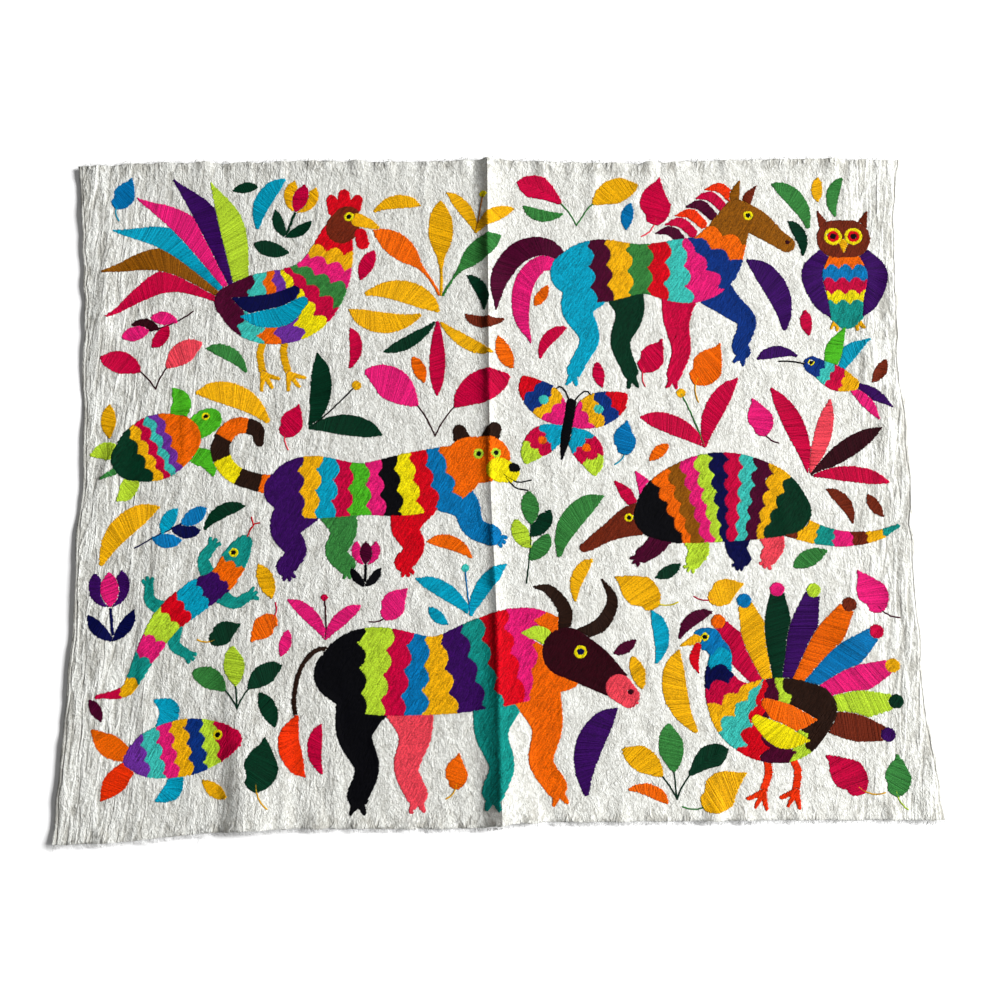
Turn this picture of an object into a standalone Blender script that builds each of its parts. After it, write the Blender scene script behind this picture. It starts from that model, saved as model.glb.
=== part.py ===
"""An embroidered cotton cloth, laid out with its storage crease and its puckered edges.

It is one woven panel, selvedge to selvedge along X, torn across at top and bottom.
Its underside rests on z = 0, and only creases, ridges and puckers rise from there.
"""

import bisect
import math
from collections import namedtuple

import bmesh
import bpy
from mathutils import Vector

PART = "embroidered_cloth"
NODE = "cloth"

# Sheet
THICKNESS = 0.0015
COLUMNS_EACH_SIDE = 64
ROWS = 20
COLUMN_GRADING = 1.25

# Side edges and the crease between the two halves: rows of (y, x), from bottom to top
LEFT_EDGE = (
    (-0.370, -0.450),
    (-0.264, -0.447),
    (-0.182, -0.443),
    (-0.098, -0.440),
    (-0.056, -0.443),
    (0.009, -0.440),
    (0.097, -0.444),
    (0.186, -0.447),
    (0.277, -0.453),
    (0.324, -0.458),
    (0.361, -0.462),
)
RIGHT_EDGE = (
    (-0.345, 0.462),
    (-0.284, 0.455),
    (-0.203, 0.447),
    (-0.119, 0.445),
    (0.009, 0.444),
    (0.097, 0.442),
    (0.141, 0.438),
    (0.231, 0.440),
    (0.324, 0.443),
    (0.369, 0.450),
)
CREASE_LINE = (
    (-0.350, 0.006),
    (-0.119, 0.002),
    (0.009, -0.005),
    (0.368, -0.008),
)

# Torn edges: rows of (x, y), from left to right
TOP_EDGE = (
    (-0.462, 0.361),
    (-0.373, 0.365),
    (-0.284, 0.366),
    (-0.195, 0.368),
    (-0.105, 0.367),
    (-0.008, 0.369),
    (0.073, 0.367),
    (0.162, 0.365),
    (0.251, 0.369),
    (0.340, 0.370),
    (0.450, 0.369),
)
BOTTOM_EDGE = (
    (-0.450, -0.370),
    (-0.383, -0.367),
    (-0.302, -0.359),
    (-0.220, -0.354),
    (-0.106, -0.354),
    (-0.014, -0.353),
    (0.006, -0.350),
    (0.026, -0.348),
    (0.106, -0.347),
    (0.211, -0.346),
    (0.336, -0.345),
    (0.462, -0.345),
)

# The sharp storage crease: rows of (y, value)
CREASE_RISE = (
    (-0.350, 0.0180),
    (-0.270, 0.0120),
    (-0.120, 0.0070),
    (0.100, 0.0070),
    (0.270, 0.0095),
    (0.369, 0.0155),
)
CREASE_WIDTH_LEFT = (
    (-0.350, 0.048),
    (-0.200, 0.032),
    (0.000, 0.020),
    (0.369, 0.018),
)
CREASE_WIDTH_RIGHT = (
    (-0.350, 0.038),
    (0.000, 0.028),
    (0.369, 0.036),
)
CREASE_POWER = 1.7

# Soft ridges: a crest from (x0, y0) to (x1, y1), with its rise at the start, halfway and at the end
Ridge = namedtuple("Ridge", "x0 y0 x1 y1 rise0 rise_half rise1 width_left width_right")
RIDGES = (
    Ridge(-0.271, -0.150, -0.252, -0.372, 0.0, 0.0070, 0.0160, 0.030, 0.058),
    Ridge(-0.430, 0.330, -0.424, 0.090, 0.0, 0.0032, 0.0, 0.016, 0.022),
    Ridge(-0.396, 0.080, -0.428, -0.030, 0.0, 0.0036, 0.0, 0.014, 0.024),
    Ridge(-0.420, -0.050, -0.412, -0.260, 0.0, 0.0034, 0.0, 0.022, 0.018),
    Ridge(-0.352, 0.010, -0.358, -0.190, 0.0, 0.0028, 0.0, 0.018, 0.024),
    Ridge(0.402, 0.250, 0.410, 0.060, 0.0, 0.0026, 0.0, 0.020, 0.018),
    Ridge(0.366, -0.105, 0.392, -0.205, 0.0, 0.0050, 0.0, 0.036, 0.030),
)

# Puckers that run in from the torn edges: rows of waves, which add up
Pucker = namedtuple("Pucker", "pitch phase rise")
PUCKER_REACH = 0.034
TOP_PUCKERS = (
    Pucker(0.041, 0.4, 0.0024),
    Pucker(0.029, 2.1, 0.0018),
    Pucker(0.173, 1.2, 0.0014),
)
BOTTOM_PUCKERS = (
    Pucker(0.045, 1.9, 0.0026),
    Pucker(0.031, 0.3, 0.0018),
    Pucker(0.211, 0.7, 0.0018),
)

# Finish: unbleached cotton
COTTON_COLOUR = (0.80, 0.78, 0.73, 1.0)
COTTON_ROUGHNESS = 0.92


def along(rows, place):
    """Reads a smooth value at a place from rows of (place, value) in rising order."""
    places = [row[0] for row in rows]
    values = [row[1] for row in rows]
    last = len(rows) - 1
    place = min(max(place, places[0]), places[last])
    start = min(max(bisect.bisect_right(places, place) - 1, 0), last - 1)
    slopes = []
    for index in (start, start + 1):
        before, after = max(index - 1, 0), min(index + 1, last)
        slopes.append((values[after] - values[before]) / (places[after] - places[before]))
    gap = places[start + 1] - places[start]
    share = (place - places[start]) / gap
    rising = share * share * (3 - 2 * share)
    bend = gap * share * (1 - share) * ((1 - share) * slopes[0] - share * slopes[1])
    return values[start] * (1 - rising) + values[start + 1] * rising + bend


def bell(distance, width):
    """A soft hump: 1 at no distance, falling to 0 at the width."""
    return math.cos(math.pi / 2 * min(abs(distance) / width, 1.0)) ** 2


def crease_share(x, y):
    """1 on the crest of the sharp fold that storing the cloth in two halves leaves, 0 beside it."""
    distance = x - along(CREASE_LINE, y)
    widths = CREASE_WIDTH_LEFT if distance < 0 else CREASE_WIDTH_RIGHT
    return max(0.0, 1 - abs(distance) / along(widths, y))


def ridge_height(ridge, x, y):
    """One soft ridge, whose crest is a straight line and whose two slopes differ."""
    start = Vector((ridge.x0, ridge.y0))
    crest = Vector((ridge.x1, ridge.y1)) - start
    offset = Vector((x, y)) - start
    share = offset.dot(crest) / crest.length_squared
    if not 0 < share <= 1.1:
        return 0.0
    side = crest.x * offset.y - crest.y * offset.x
    width = ridge.width_right if side > 0 else ridge.width_left
    rises = ((0.0, ridge.rise0), (0.5, ridge.rise_half), (1.0, ridge.rise1))
    return max(0.0, along(rises, share)) * bell(side / crest.length, width)


def pucker_height(puckers, x, distance):
    """Small waves along a torn edge, highest at the edge and gone at the reach."""
    wave = sum(p.rise * math.sin(2 * math.pi * x / p.pitch + p.phase) for p in puckers)
    fade = max(0.0, 1 - distance / PUCKER_REACH) ** 1.5
    return max(0.0, wave) * fade


def height(x, y, from_top, from_bottom):
    """How far the underside stands clear of the surface."""
    share = crease_share(x, y)
    crease = along(CREASE_RISE, y) * share**CREASE_POWER
    ridges = sum(ridge_height(ridge, x, y) for ridge in RIDGES)
    puckers = pucker_height(TOP_PUCKERS, x, from_top) + pucker_height(BOTTOM_PUCKERS, x, from_bottom)
    return crease + ridges + puckers * (1 - share)


def place_on_cloth(across, up):
    """The point at a share across, -1 at the left edge and 1 at the right, and a share up."""
    side = LEFT_EDGE if across < 0 else RIGHT_EDGE
    reach = abs(across)

    def x_at(y):
        crease = along(CREASE_LINE, y)
        return crease + reach * (along(side, y) - crease)

    bottom = along(BOTTOM_EDGE, x_at(side[0][0]))
    top = along(TOP_EDGE, x_at(side[-1][0]))
    y = bottom + up * (top - bottom)
    x = x_at(y)
    return Vector((x, y, height(x, y, top - y, y - bottom)))


def graded_column(column):
    """Columns crowd towards the crease, which needs the finest faces."""
    share = column / COLUMNS_EACH_SIDE
    return math.copysign(abs(share) ** COLUMN_GRADING, share)


def graded_row(row):
    """Rows crowd towards both torn edges, where the puckers are."""
    return (1 - math.cos(math.pi * row / ROWS)) / 2


def make_sheet_mesh():
    """A flat grid whose points are moved to where the cloth lies."""
    grid = bmesh.new()
    columns = 2 * COLUMNS_EACH_SIDE
    bmesh.ops.create_grid(grid, x_segments=columns, y_segments=ROWS, size=1.0)
    for point in grid.verts:
        column = round(point.co.x * COLUMNS_EACH_SIDE)
        row = round((point.co.y + 1) / 2 * ROWS)
        point.co = place_on_cloth(graded_column(column), graded_row(row))
    centre_on_origin(grid)
    mesh = bpy.data.meshes.new(NODE)
    grid.to_mesh(mesh)
    grid.free()
    return mesh


def centre_on_origin(grid):
    """Moves the sheet sideways, so that the middle of its outline is the origin."""
    xs = [point.co.x for point in grid.verts]
    ys = [point.co.y for point in grid.verts]
    middle = Vector((min(xs) + max(xs), min(ys) + max(ys), 0.0)) / 2
    bmesh.ops.translate(grid, verts=grid.verts, vec=-middle)


def cotton():
    material = bpy.data.materials.new("cotton")
    material.use_nodes = True
    shader = material.node_tree.nodes["Principled BSDF"]
    shader.inputs["Base Color"].default_value = COTTON_COLOUR
    shader.inputs["Roughness"].default_value = COTTON_ROUGHNESS
    shader.inputs["Metallic"].default_value = 0.0
    return material


def make_cloth(collection):
    cloth = bpy.data.objects.new(NODE, make_sheet_mesh())
    collection.objects.link(cloth)
    cloth.data.shade_smooth()
    cloth.data.materials.append(cotton())
    wall = cloth.modifiers.new("thickness", "SOLIDIFY")
    wall.thickness = THICKNESS
    wall.offset = 1.0
    wall.use_even_offset = True
    return cloth


def main():
    for old in list(bpy.data.objects):
        bpy.data.objects.remove(old)
    collection = bpy.data.collections.new(PART)
    bpy.context.scene.collection.children.link(collection)
    make_cloth(collection)


main()
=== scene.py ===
"""An embroidered cotton cloth, laid out: crinkled unbleached cotton with a storage crease down the
middle, torn top and bottom edges, and animals, birds and leaves in thousands of laid stitches.

The cotton is a thin sheet on the solid cloth's own folds. A chart, in millimetres, says which
stitched area owns each small cell of the cloth. Rows of stitches are read from the chart, one
point for each stitch. A node tree lays a strand on each point, and the strands are then settled
on the sheet.
"""

import math
from collections import defaultdict, namedtuple

import bmesh
import bpy
import numpy as np
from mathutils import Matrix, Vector


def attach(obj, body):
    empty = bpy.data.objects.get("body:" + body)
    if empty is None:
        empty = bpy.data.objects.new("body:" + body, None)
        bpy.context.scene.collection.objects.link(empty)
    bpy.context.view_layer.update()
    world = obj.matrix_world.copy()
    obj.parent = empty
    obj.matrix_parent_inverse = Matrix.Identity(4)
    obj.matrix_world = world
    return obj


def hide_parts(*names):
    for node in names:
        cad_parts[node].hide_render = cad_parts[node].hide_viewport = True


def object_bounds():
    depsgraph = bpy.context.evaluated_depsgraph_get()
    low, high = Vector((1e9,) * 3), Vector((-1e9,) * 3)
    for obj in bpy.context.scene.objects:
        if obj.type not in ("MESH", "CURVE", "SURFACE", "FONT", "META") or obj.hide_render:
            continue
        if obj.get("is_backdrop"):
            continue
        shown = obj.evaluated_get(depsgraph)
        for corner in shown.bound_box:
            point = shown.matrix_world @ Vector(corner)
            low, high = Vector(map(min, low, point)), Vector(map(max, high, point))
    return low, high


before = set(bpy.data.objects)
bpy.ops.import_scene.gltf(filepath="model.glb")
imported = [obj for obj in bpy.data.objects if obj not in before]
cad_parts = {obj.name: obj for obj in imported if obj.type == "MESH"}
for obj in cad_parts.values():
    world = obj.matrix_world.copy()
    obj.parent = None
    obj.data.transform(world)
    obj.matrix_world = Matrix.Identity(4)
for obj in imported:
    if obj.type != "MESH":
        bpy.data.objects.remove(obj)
cad_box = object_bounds()

NODE = "cloth"
BODY = "root"
MM = 0.001

# Sheet, in metres
SHEET_THICKNESS = 0.0006
CUT_SIZE = (0.915, 0.735)
COLUMNS_EACH_SIDE = 146
ROWS = 162
COLUMN_GRADING = 1.12
ROW_CROWDING = 0.35
SELVEDGE = 0.0056
FRAY = 0.0016

# Side edges and the crease between the two halves: rows of (y, x), from bottom to top
LEFT_EDGE = (
    (-0.370, -0.450), (-0.264, -0.447), (-0.182, -0.443), (-0.098, -0.440), (-0.056, -0.443),
    (0.009, -0.440), (0.097, -0.444), (0.186, -0.447), (0.277, -0.453), (0.324, -0.458),
    (0.361, -0.462),
)
RIGHT_EDGE = (
    (-0.345, 0.462), (-0.284, 0.455), (-0.203, 0.447), (-0.119, 0.445), (0.009, 0.444), (0.097, 0.442),
    (0.141, 0.438), (0.231, 0.440), (0.324, 0.443), (0.369, 0.450),
)
CREASE_LINE = ((-0.350, 0.0088), (-0.119, 0.002), (0.009, -0.004), (0.368, -0.008))

# Torn edges: rows of (x, y), from left to right
TOP_EDGE = (
    (-0.462, 0.361), (-0.373, 0.365), (-0.284, 0.366), (-0.195, 0.368), (-0.105, 0.367), (-0.008, 0.369),
    (0.073, 0.367), (0.162, 0.365), (0.251, 0.369), (0.340, 0.370), (0.450, 0.369),
)
BOTTOM_EDGE = (
    (-0.450, -0.370), (-0.383, -0.367), (-0.302, -0.359), (-0.220, -0.354), (-0.106, -0.354),
    (-0.014, -0.353), (0.006, -0.350), (0.026, -0.348), (0.106, -0.347), (0.211, -0.346),
    (0.336, -0.345), (0.462, -0.345),
)

# The sharp storage crease: rows of (y, value)
CREASE_RISE = (
    (-0.350, 0.0180), (-0.270, 0.0120), (-0.120, 0.0070), (0.100, 0.0070), (0.270, 0.0095),
    (0.369, 0.0128),
)
CREASE_WIDTH_LEFT = ((-0.350, 0.026), (-0.250, 0.030), (-0.100, 0.033), (0.000, 0.034), (0.369, 0.036))
CREASE_WIDTH_RIGHT = ((-0.350, 0.044), (-0.100, 0.040), (0.000, 0.042), (0.369, 0.058))
CREASE_POWER = ((-0.350, 1.2), (-0.250, 1.5), (-0.100, 4.0), (0.369, 3.6))
CREASE_FOOT = 0.12

# A ridge runs on a little past the end of its crest, as a share of its length
RIDGE_END = 1.1

# Ridges: a crest from (x0, y0) to (x1, y1), with its rise at the start, halfway and at the end
Ridge = namedtuple("Ridge", "x0 y0 x1 y1 rise0 rise_half rise1 width_left width_right")
SOFT_RIDGES = (
    Ridge(-0.271, -0.150, -0.252, -0.372, 0.0, 0.0070, 0.0160, 0.030, 0.058),
    Ridge(-0.430, 0.330, -0.424, 0.090, 0.0, 0.0032, 0.0, 0.016, 0.022),
    Ridge(-0.396, 0.080, -0.428, -0.030, 0.0, 0.0036, 0.0, 0.014, 0.024),
    Ridge(-0.420, -0.050, -0.412, -0.260, 0.0, 0.0034, 0.0, 0.022, 0.018),
    Ridge(-0.352, 0.010, -0.358, -0.190, 0.0, 0.0028, 0.0, 0.018, 0.024),
    Ridge(0.402, 0.250, 0.410, 0.060, 0.0, 0.0026, 0.0, 0.020, 0.018),
    Ridge(0.366, -0.105, 0.392, -0.205, 0.0, 0.0050, 0.0, 0.036, 0.030),
)
THIN_CREASES = (
    Ridge(-0.391, 0.078, -0.428, -0.018, 0.0, 0.0018, 0.0, 0.005, 0.007),
    Ridge(-0.300, 0.300, -0.306, 0.120, 0.0, 0.0012, 0.0, 0.006, 0.009),
    Ridge(-0.338, 0.180, -0.330, -0.020, 0.0, 0.0014, 0.0, 0.007, 0.009),
    Ridge(-0.372, -0.080, -0.362, -0.330, 0.0, 0.0016, 0.0, 0.008, 0.011),
    Ridge(-0.222, -0.220, -0.214, -0.352, 0.0, 0.0016, 0.0022, 0.008, 0.012),
    Ridge(-0.170, -0.250, -0.162, -0.352, 0.0, 0.0013, 0.0020, 0.008, 0.010),
    Ridge(-0.080, 0.366, -0.074, 0.250, 0.0018, 0.0012, 0.0, 0.007, 0.009),
    Ridge(0.112, 0.366, 0.106, 0.270, 0.0018, 0.0012, 0.0, 0.008, 0.008),
    Ridge(0.230, -0.346, 0.236, -0.240, 0.0020, 0.0012, 0.0, 0.008, 0.010),
    Ridge(0.425, 0.180, 0.418, 0.020, 0.0, 0.0013, 0.0, 0.007, 0.007),
    Ridge(0.430, -0.040, 0.436, -0.240, 0.0, 0.0016, 0.0, 0.009, 0.008),
    Ridge(0.300, 0.060, 0.312, -0.080, 0.0, 0.0010, 0.0, 0.010, 0.010),
)

# Puckers that run in from the torn edges: rows of waves, which add up
Pucker = namedtuple("Pucker", "pitch phase rise")
PUCKER_REACH = 0.034
PUCKER_FADING = 1.5
PUCKER_SOFTNESS = 0.0012
TOP_PUCKERS = (Pucker(0.041, 0.4, 0.0024), Pucker(0.029, 2.1, 0.0018), Pucker(0.173, 1.2, 0.0014))
BOTTOM_PUCKERS = (Pucker(0.045, 1.9, 0.0026), Pucker(0.031, 0.3, 0.0018), Pucker(0.211, 0.7, 0.0018))

# Crinkles: the size of a bump along X and along Y, its rise, how far it leans, and its seed
Crinkle = namedtuple("Crinkle", "size_x size_y rise lean seed")
CRINKLES = (
    Crinkle(0.011, 0.024, 0.0013, 0.30, 1),
    Crinkle(0.009, 0.013, 0.0008, -0.45, 2),
    Crinkle(0.060, 0.110, 0.0012, 0.0, 3),
)
SIDE_CRINKLE = Crinkle(0.012, 0.070, 0.0028, -0.08, 4)
EDGE_CRINKLE = Crinkle(0.008, 0.060, 0.0022, 0.0, 5)
TEAR_CRINKLE = Crinkle(0.011, 0.020, 0.0040, 0.1, 6)
SIDE_REACH_LEFT = 0.150
SIDE_REACH_RIGHT = 0.080
EDGE_REACH = 0.020
TEAR_REACH = 0.018
CALM_UNDER_STITCHES = 0.65
CALM_AT_CREASE = 0.8
FADING_PAST_TEAR = 0.006
CRINKLED_SPAN = 1.6
FRAY_WAVES = Crinkle(0.0042, 0.8, FRAY, 0.0, 7)
SIDE_WAVES = Crinkle(0.0190, 0.8, 0.0034, 0.0, 8)

# Thread colours, as screen values
THREADS = {
    "crimson": (200, 0, 62), "red": (212, 0, 24), "scarlet": (236, 52, 4), "orange": (246, 104, 0),
    "amber": (248, 178, 10), "yellow": (246, 222, 8), "lime": (186, 218, 52), "leaf_green": (78, 184, 34),
    "forest_green": (56, 130, 60), "bottle_green": (0, 50, 30), "teal": (16, 146, 136),
    "turquoise": (62, 192, 182), "cyan": (0, 160, 192), "sky_blue": (0, 118, 180),
    "royal_blue": (8, 50, 128), "navy": (2, 6, 68), "purple": (56, 8, 92), "violet": (112, 48, 158),
    "pink": (228, 28, 118), "coral": (240, 72, 88), "plum": (74, 0, 40), "maroon": (50, 2, 16),
    "ochre": (142, 84, 6), "brown": (112, 38, 16), "dark_brown": (40, 21, 12), "black": (3, 3, 8),
}
COLOURS = list(THREADS)
COTTON = (240, 241, 236)
# Painted shade: the colour of the cotton in the hollows of its crinkles, wrinkles and puckers
COTTON_PAINTED_SHADE = (172, 170, 161)
# Painted shade: the colour of the groove along the selvedge
SELVEDGE_PAINTED_SHADE = (168, 165, 156)

# Chart, in millimetres
CELL = 0.5
CHART_X = 470.0
CHART_Y = 385.0
CENTRE = np.array([CHART_X, CHART_Y])
GAP = 1.1
SEAM = 0.8
PATH_STEP = 1.5
THINNEST = 0.3
BROADEST_LINE = 1.2
DOT_RUN = 0.3
UNEVEN_BANDS = 0.12
ROOM_PROBES = 9
COVER_CELLS = 8
STITCHED_X = 434.0
STITCHED_Y = (-340.0, 354.0)

# Stitches, in millimetres and degrees
FILL_PITCH = 1.25
FILL_LENGTH = 7.0
FILL_BREADTH = 2.25
SATIN_PITCH = 1.35
SATIN_BREADTH = 2.25
SATIN_SLANT = 18.0
VEIN_ANGLE = 44.0
LINE_STITCH = 5.0
LOFT = 0.8
LAP = 0.6
CREST_LAP = 0.3
MOST_CROWDING = 0.9
SHORTEST = 0.9
UNEVEN_ENDS = 0.2
UNEVEN_LOFT = 0.14
UNEVEN_TONE = 0.25
UNEVEN_CUTS = 0.4
BREADTH_RANGE = (0.92, 1.08)
LOFT_RANGE = (0.6, 1.5)
PROBE_MARGIN = 2.0

# How strands stand on the sheet, in metres
CLEARANCE = 0.0003
CREST_CLEARANCE = 0.0005
CREST_REACH = 0.004
SLOPE_STEP = 0.0012


def along(rows, place):
    """Reads smooth values at an array of places from rows of (place, value) in rising order."""
    places, values = np.array(rows, float).T
    place = np.clip(place, places[0], places[-1])
    last = len(rows) - 1
    start = np.clip(np.searchsorted(places, place, side="right") - 1, 0, last - 1)
    before = np.maximum(np.arange(last + 1) - 1, 0)
    after = np.minimum(np.arange(last + 1) + 1, last)
    slopes = (values[after] - values[before]) / (places[after] - places[before])
    gap = places[start + 1] - places[start]
    share = (place - places[start]) / gap
    rising = share * share * (3 - 2 * share)
    bend = gap * share * (1 - share) * ((1 - share) * slopes[start] - share * slopes[start + 1])
    return values[start] * (1 - rising) + values[start + 1] * rising + bend


def fading(distance, reach):
    """1 at no distance, falling to 0 at the reach."""
    return np.clip(1 - distance / reach, 0, 1)


def crease_share(x, y):
    """1 on the crest of the storage crease, 0 beside it."""
    distance = x - along(CREASE_LINE, y)
    width = np.where(distance < 0, along(CREASE_WIDTH_LEFT, y), along(CREASE_WIDTH_RIGHT, y))
    share = fading(np.abs(distance), width)
    return (1 + CREASE_FOOT) * share**2 / (share + CREASE_FOOT)


def ridge_height(ridge, x, y):
    """One ridge, whose crest is a straight line and whose two slopes differ."""
    crest_x, crest_y = ridge.x1 - ridge.x0, ridge.y1 - ridge.y0
    length = math.hypot(crest_x, crest_y)
    offset_x, offset_y = x - ridge.x0, y - ridge.y0
    share = (offset_x * crest_x + offset_y * crest_y) / length**2
    side = (crest_x * offset_y - crest_y * offset_x) / length
    width = np.where(side > 0, ridge.width_right, ridge.width_left)
    slope = np.cos(np.pi / 2 * np.minimum(np.abs(side) / width, 1)) ** 2
    rise = along(((0.0, ridge.rise0), (0.5, ridge.rise_half), (1.0, ridge.rise1)), share)
    return np.where((share > 0) & (share <= RIDGE_END), np.maximum(0, rise) * slope, 0)


def pucker_height(puckers, x, distance):
    """Small waves along a torn edge, highest at the edge and gone at the reach."""
    wave = sum(p.rise * np.sin(2 * np.pi * x / p.pitch + p.phase) for p in puckers)
    rounded = (wave + np.hypot(wave, PUCKER_SOFTNESS)) / 2
    return rounded * fading(np.maximum(distance, 0), PUCKER_REACH) ** PUCKER_FADING


def read_grid(grid, column, row):
    """Reads a grid smoothly between its points."""
    left = np.clip(np.floor(column).astype(int), 0, grid.shape[1] - 2)
    low = np.clip(np.floor(row).astype(int), 0, grid.shape[0] - 2)
    across, up = np.clip(column - left, 0, 1), np.clip(row - low, 0, 1)
    across, up = across * across * (3 - 2 * across), up * up * (3 - 2 * up)
    bottom = grid[low, left] * (1 - across) + grid[low, left + 1] * across
    top = grid[low + 1, left] * (1 - across) + grid[low + 1, left + 1] * across
    return bottom * (1 - up) + top * up


def crinkle_height(crinkle, x, y):
    """Seeded soft bumps, from 0 to the crinkle's rise."""
    rng = np.random.default_rng(crinkle.seed)
    rows, columns = int(CRINKLED_SPAN / crinkle.size_y) + 3, int(CRINKLED_SPAN / crinkle.size_x) + 3
    bumps = rng.random((rows, columns))
    column = (x + crinkle.lean * y + CRINKLED_SPAN / 2) / crinkle.size_x
    return crinkle.rise * read_grid(bumps, column, (y + CRINKLED_SPAN / 2) / crinkle.size_y)


def height(x, y, stitched):
    """How far the sheet's underside stands clear of the surface."""
    share = crease_share(x, y)
    from_left, from_right = x - along(LEFT_EDGE, y), along(RIGHT_EDGE, y) - x
    from_top, from_bottom = along(TOP_EDGE, x) - y, y - along(BOTTOM_EDGE, x)
    from_tear = np.minimum(from_top, from_bottom)
    folds = along(CREASE_RISE, y) * share ** along(CREASE_POWER, y)
    folds += sum(ridge_height(ridge, x, y) for ridge in SOFT_RIDGES + THIN_CREASES)
    puckers = pucker_height(TOP_PUCKERS, x, from_top) + pucker_height(BOTTOM_PUCKERS, x, from_bottom)
    puckers += crinkle_height(TEAR_CRINKLE, x, y) * fading(np.maximum(from_tear, 0), TEAR_REACH)
    crinkles = sum(crinkle_height(crinkle, x, y) for crinkle in CRINKLES)
    side = fading(from_left, SIDE_REACH_LEFT) + fading(from_right, SIDE_REACH_RIGHT)
    crinkles += crinkle_height(SIDE_CRINKLE, x, y) * side
    crinkles += crinkle_height(EDGE_CRINKLE, x, y) * fading(np.minimum(from_left, from_right), EDGE_REACH)
    crinkles *= 1 - CALM_UNDER_STITCHES * read_cover(stitched, x, y)
    on_cloth = fading(np.maximum(-from_tear, 0), FADING_PAST_TEAR)
    return (folds + (puckers + crinkles) * (1 - CALM_AT_CREASE * share)) * on_cloth


def place_on_cloth(across, up):
    """Points at shares across, -1 at the left edge and 1 at the right, and shares up, as x and y."""
    crease_bottom, crease_top = CREASE_LINE[0][1], CREASE_LINE[-1][1]
    side_bottom = np.where(across < 0, LEFT_EDGE[0][1], RIGHT_EDGE[0][1])
    side_top = np.where(across < 0, LEFT_EDGE[-1][1], RIGHT_EDGE[-1][1])
    reach = np.abs(across)
    x_bottom = crease_bottom + reach * (side_bottom - crease_bottom)
    x_top = crease_top + reach * (side_top - crease_top)
    bottom = along(BOTTOM_EDGE, x_bottom) + crinkle_height(FRAY_WAVES, x_bottom, 0.2)
    top = along(TOP_EDGE, x_top) - crinkle_height(FRAY_WAVES, x_top, -0.2)
    y = bottom + up * (top - bottom)
    crease = along(CREASE_LINE, y)
    side = np.where(across < 0, along(LEFT_EDGE, y), along(RIGHT_EDGE, y))
    side += crinkle_height(SIDE_WAVES, y, 0.3 * np.sign(across)) - SIDE_WAVES.rise / 2
    return crease + reach * (side - crease), y


# Parts of a figure. Points are rows of (x, y, half width) in millimetres.
Part = namedtuple("Part", "kind points colours wave")
Area = namedtuple("Area", "kind colours hatch path")
PLAIN = (0.0, 1.0)


def fill(points, *colours, wave=(5.0, 24.0)):
    """A limb or body in short slanted stitches, in scalloped bands of the colours."""
    return Part("fill", points, colours, wave)


def satin(points, *colours):
    """A leaf, plume or petal in long stitches across its width."""
    return Part("satin", points, colours, PLAIN)


def veined(points, *colours):
    """A broad leaf in two rows of slanted stitches that meet at its vein."""
    return Part("veined", points, colours, PLAIN)


def line(points, colour, half_width=0.75):
    """A stem, toe or feeler in one row of stitches, or a thin leg in short satin."""
    kind = "line" if half_width < BROADEST_LINE else "satin"
    return Part(kind, [(x, y, half_width) for x, y in points], (colour,), PLAIN)


def dot(x, y, radius, colour):
    """A round spot."""
    return Part("fill", [(x - DOT_RUN, y, radius), (x + DOT_RUN, y, radius)], (colour,), PLAIN)


def placed(part, x, y, facing=1, turn=0.0, size=1.0):
    """The same part, sized, mirrored, turned and moved into its place on the cloth."""
    cos, sin = math.cos(math.radians(turn)), math.sin(math.radians(turn))
    thicken = 1.0 if part.kind == "line" else size
    moved = []
    for px, py, half_width in part.points:
        px, py = px * size * facing, py * size
        moved.append((x + px * cos - py * sin, y + px * sin + py * cos, half_width * thicken))
    return part._replace(points=moved)


def smooth_path(points):
    """Points a step apart on a smooth curve through rows of (x, y, half width)."""
    rows = np.array(points, float)
    ends = np.vstack([2 * rows[0] - rows[1], rows, 2 * rows[-1] - rows[-2]])
    pieces = []
    for before, start, end, after in zip(ends, ends[1:], ends[2:], ends[3:]):
        count = max(2, math.ceil(np.linalg.norm(end[:2] - start[:2]) / PATH_STEP))
        t = np.linspace(0, 1, count, endpoint=False)[:, None]
        bend = (2 * before - 5 * start + 4 * end - after) * t**2
        twist = (3 * start - before - 3 * end + after) * t**3
        pieces.append(0.5 * (2 * start + (end - before) * t + bend + twist))
    path = np.vstack([*pieces, rows[-1:]])
    path[:, 2] = np.maximum(path[:, 2], THINNEST)
    return path


def directions(path):
    """The unit direction of travel at each point of a path."""
    ahead = np.gradient(path[:, :2], axis=0)
    return ahead / np.maximum(np.linalg.norm(ahead, axis=1, keepdims=True), 1e-6)


def lengths(path):
    """How far along the path each of its points is."""
    steps = np.linalg.norm(np.diff(path[:, :2], axis=0), axis=1)
    return np.concatenate([[0], np.cumsum(steps)])


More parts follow.
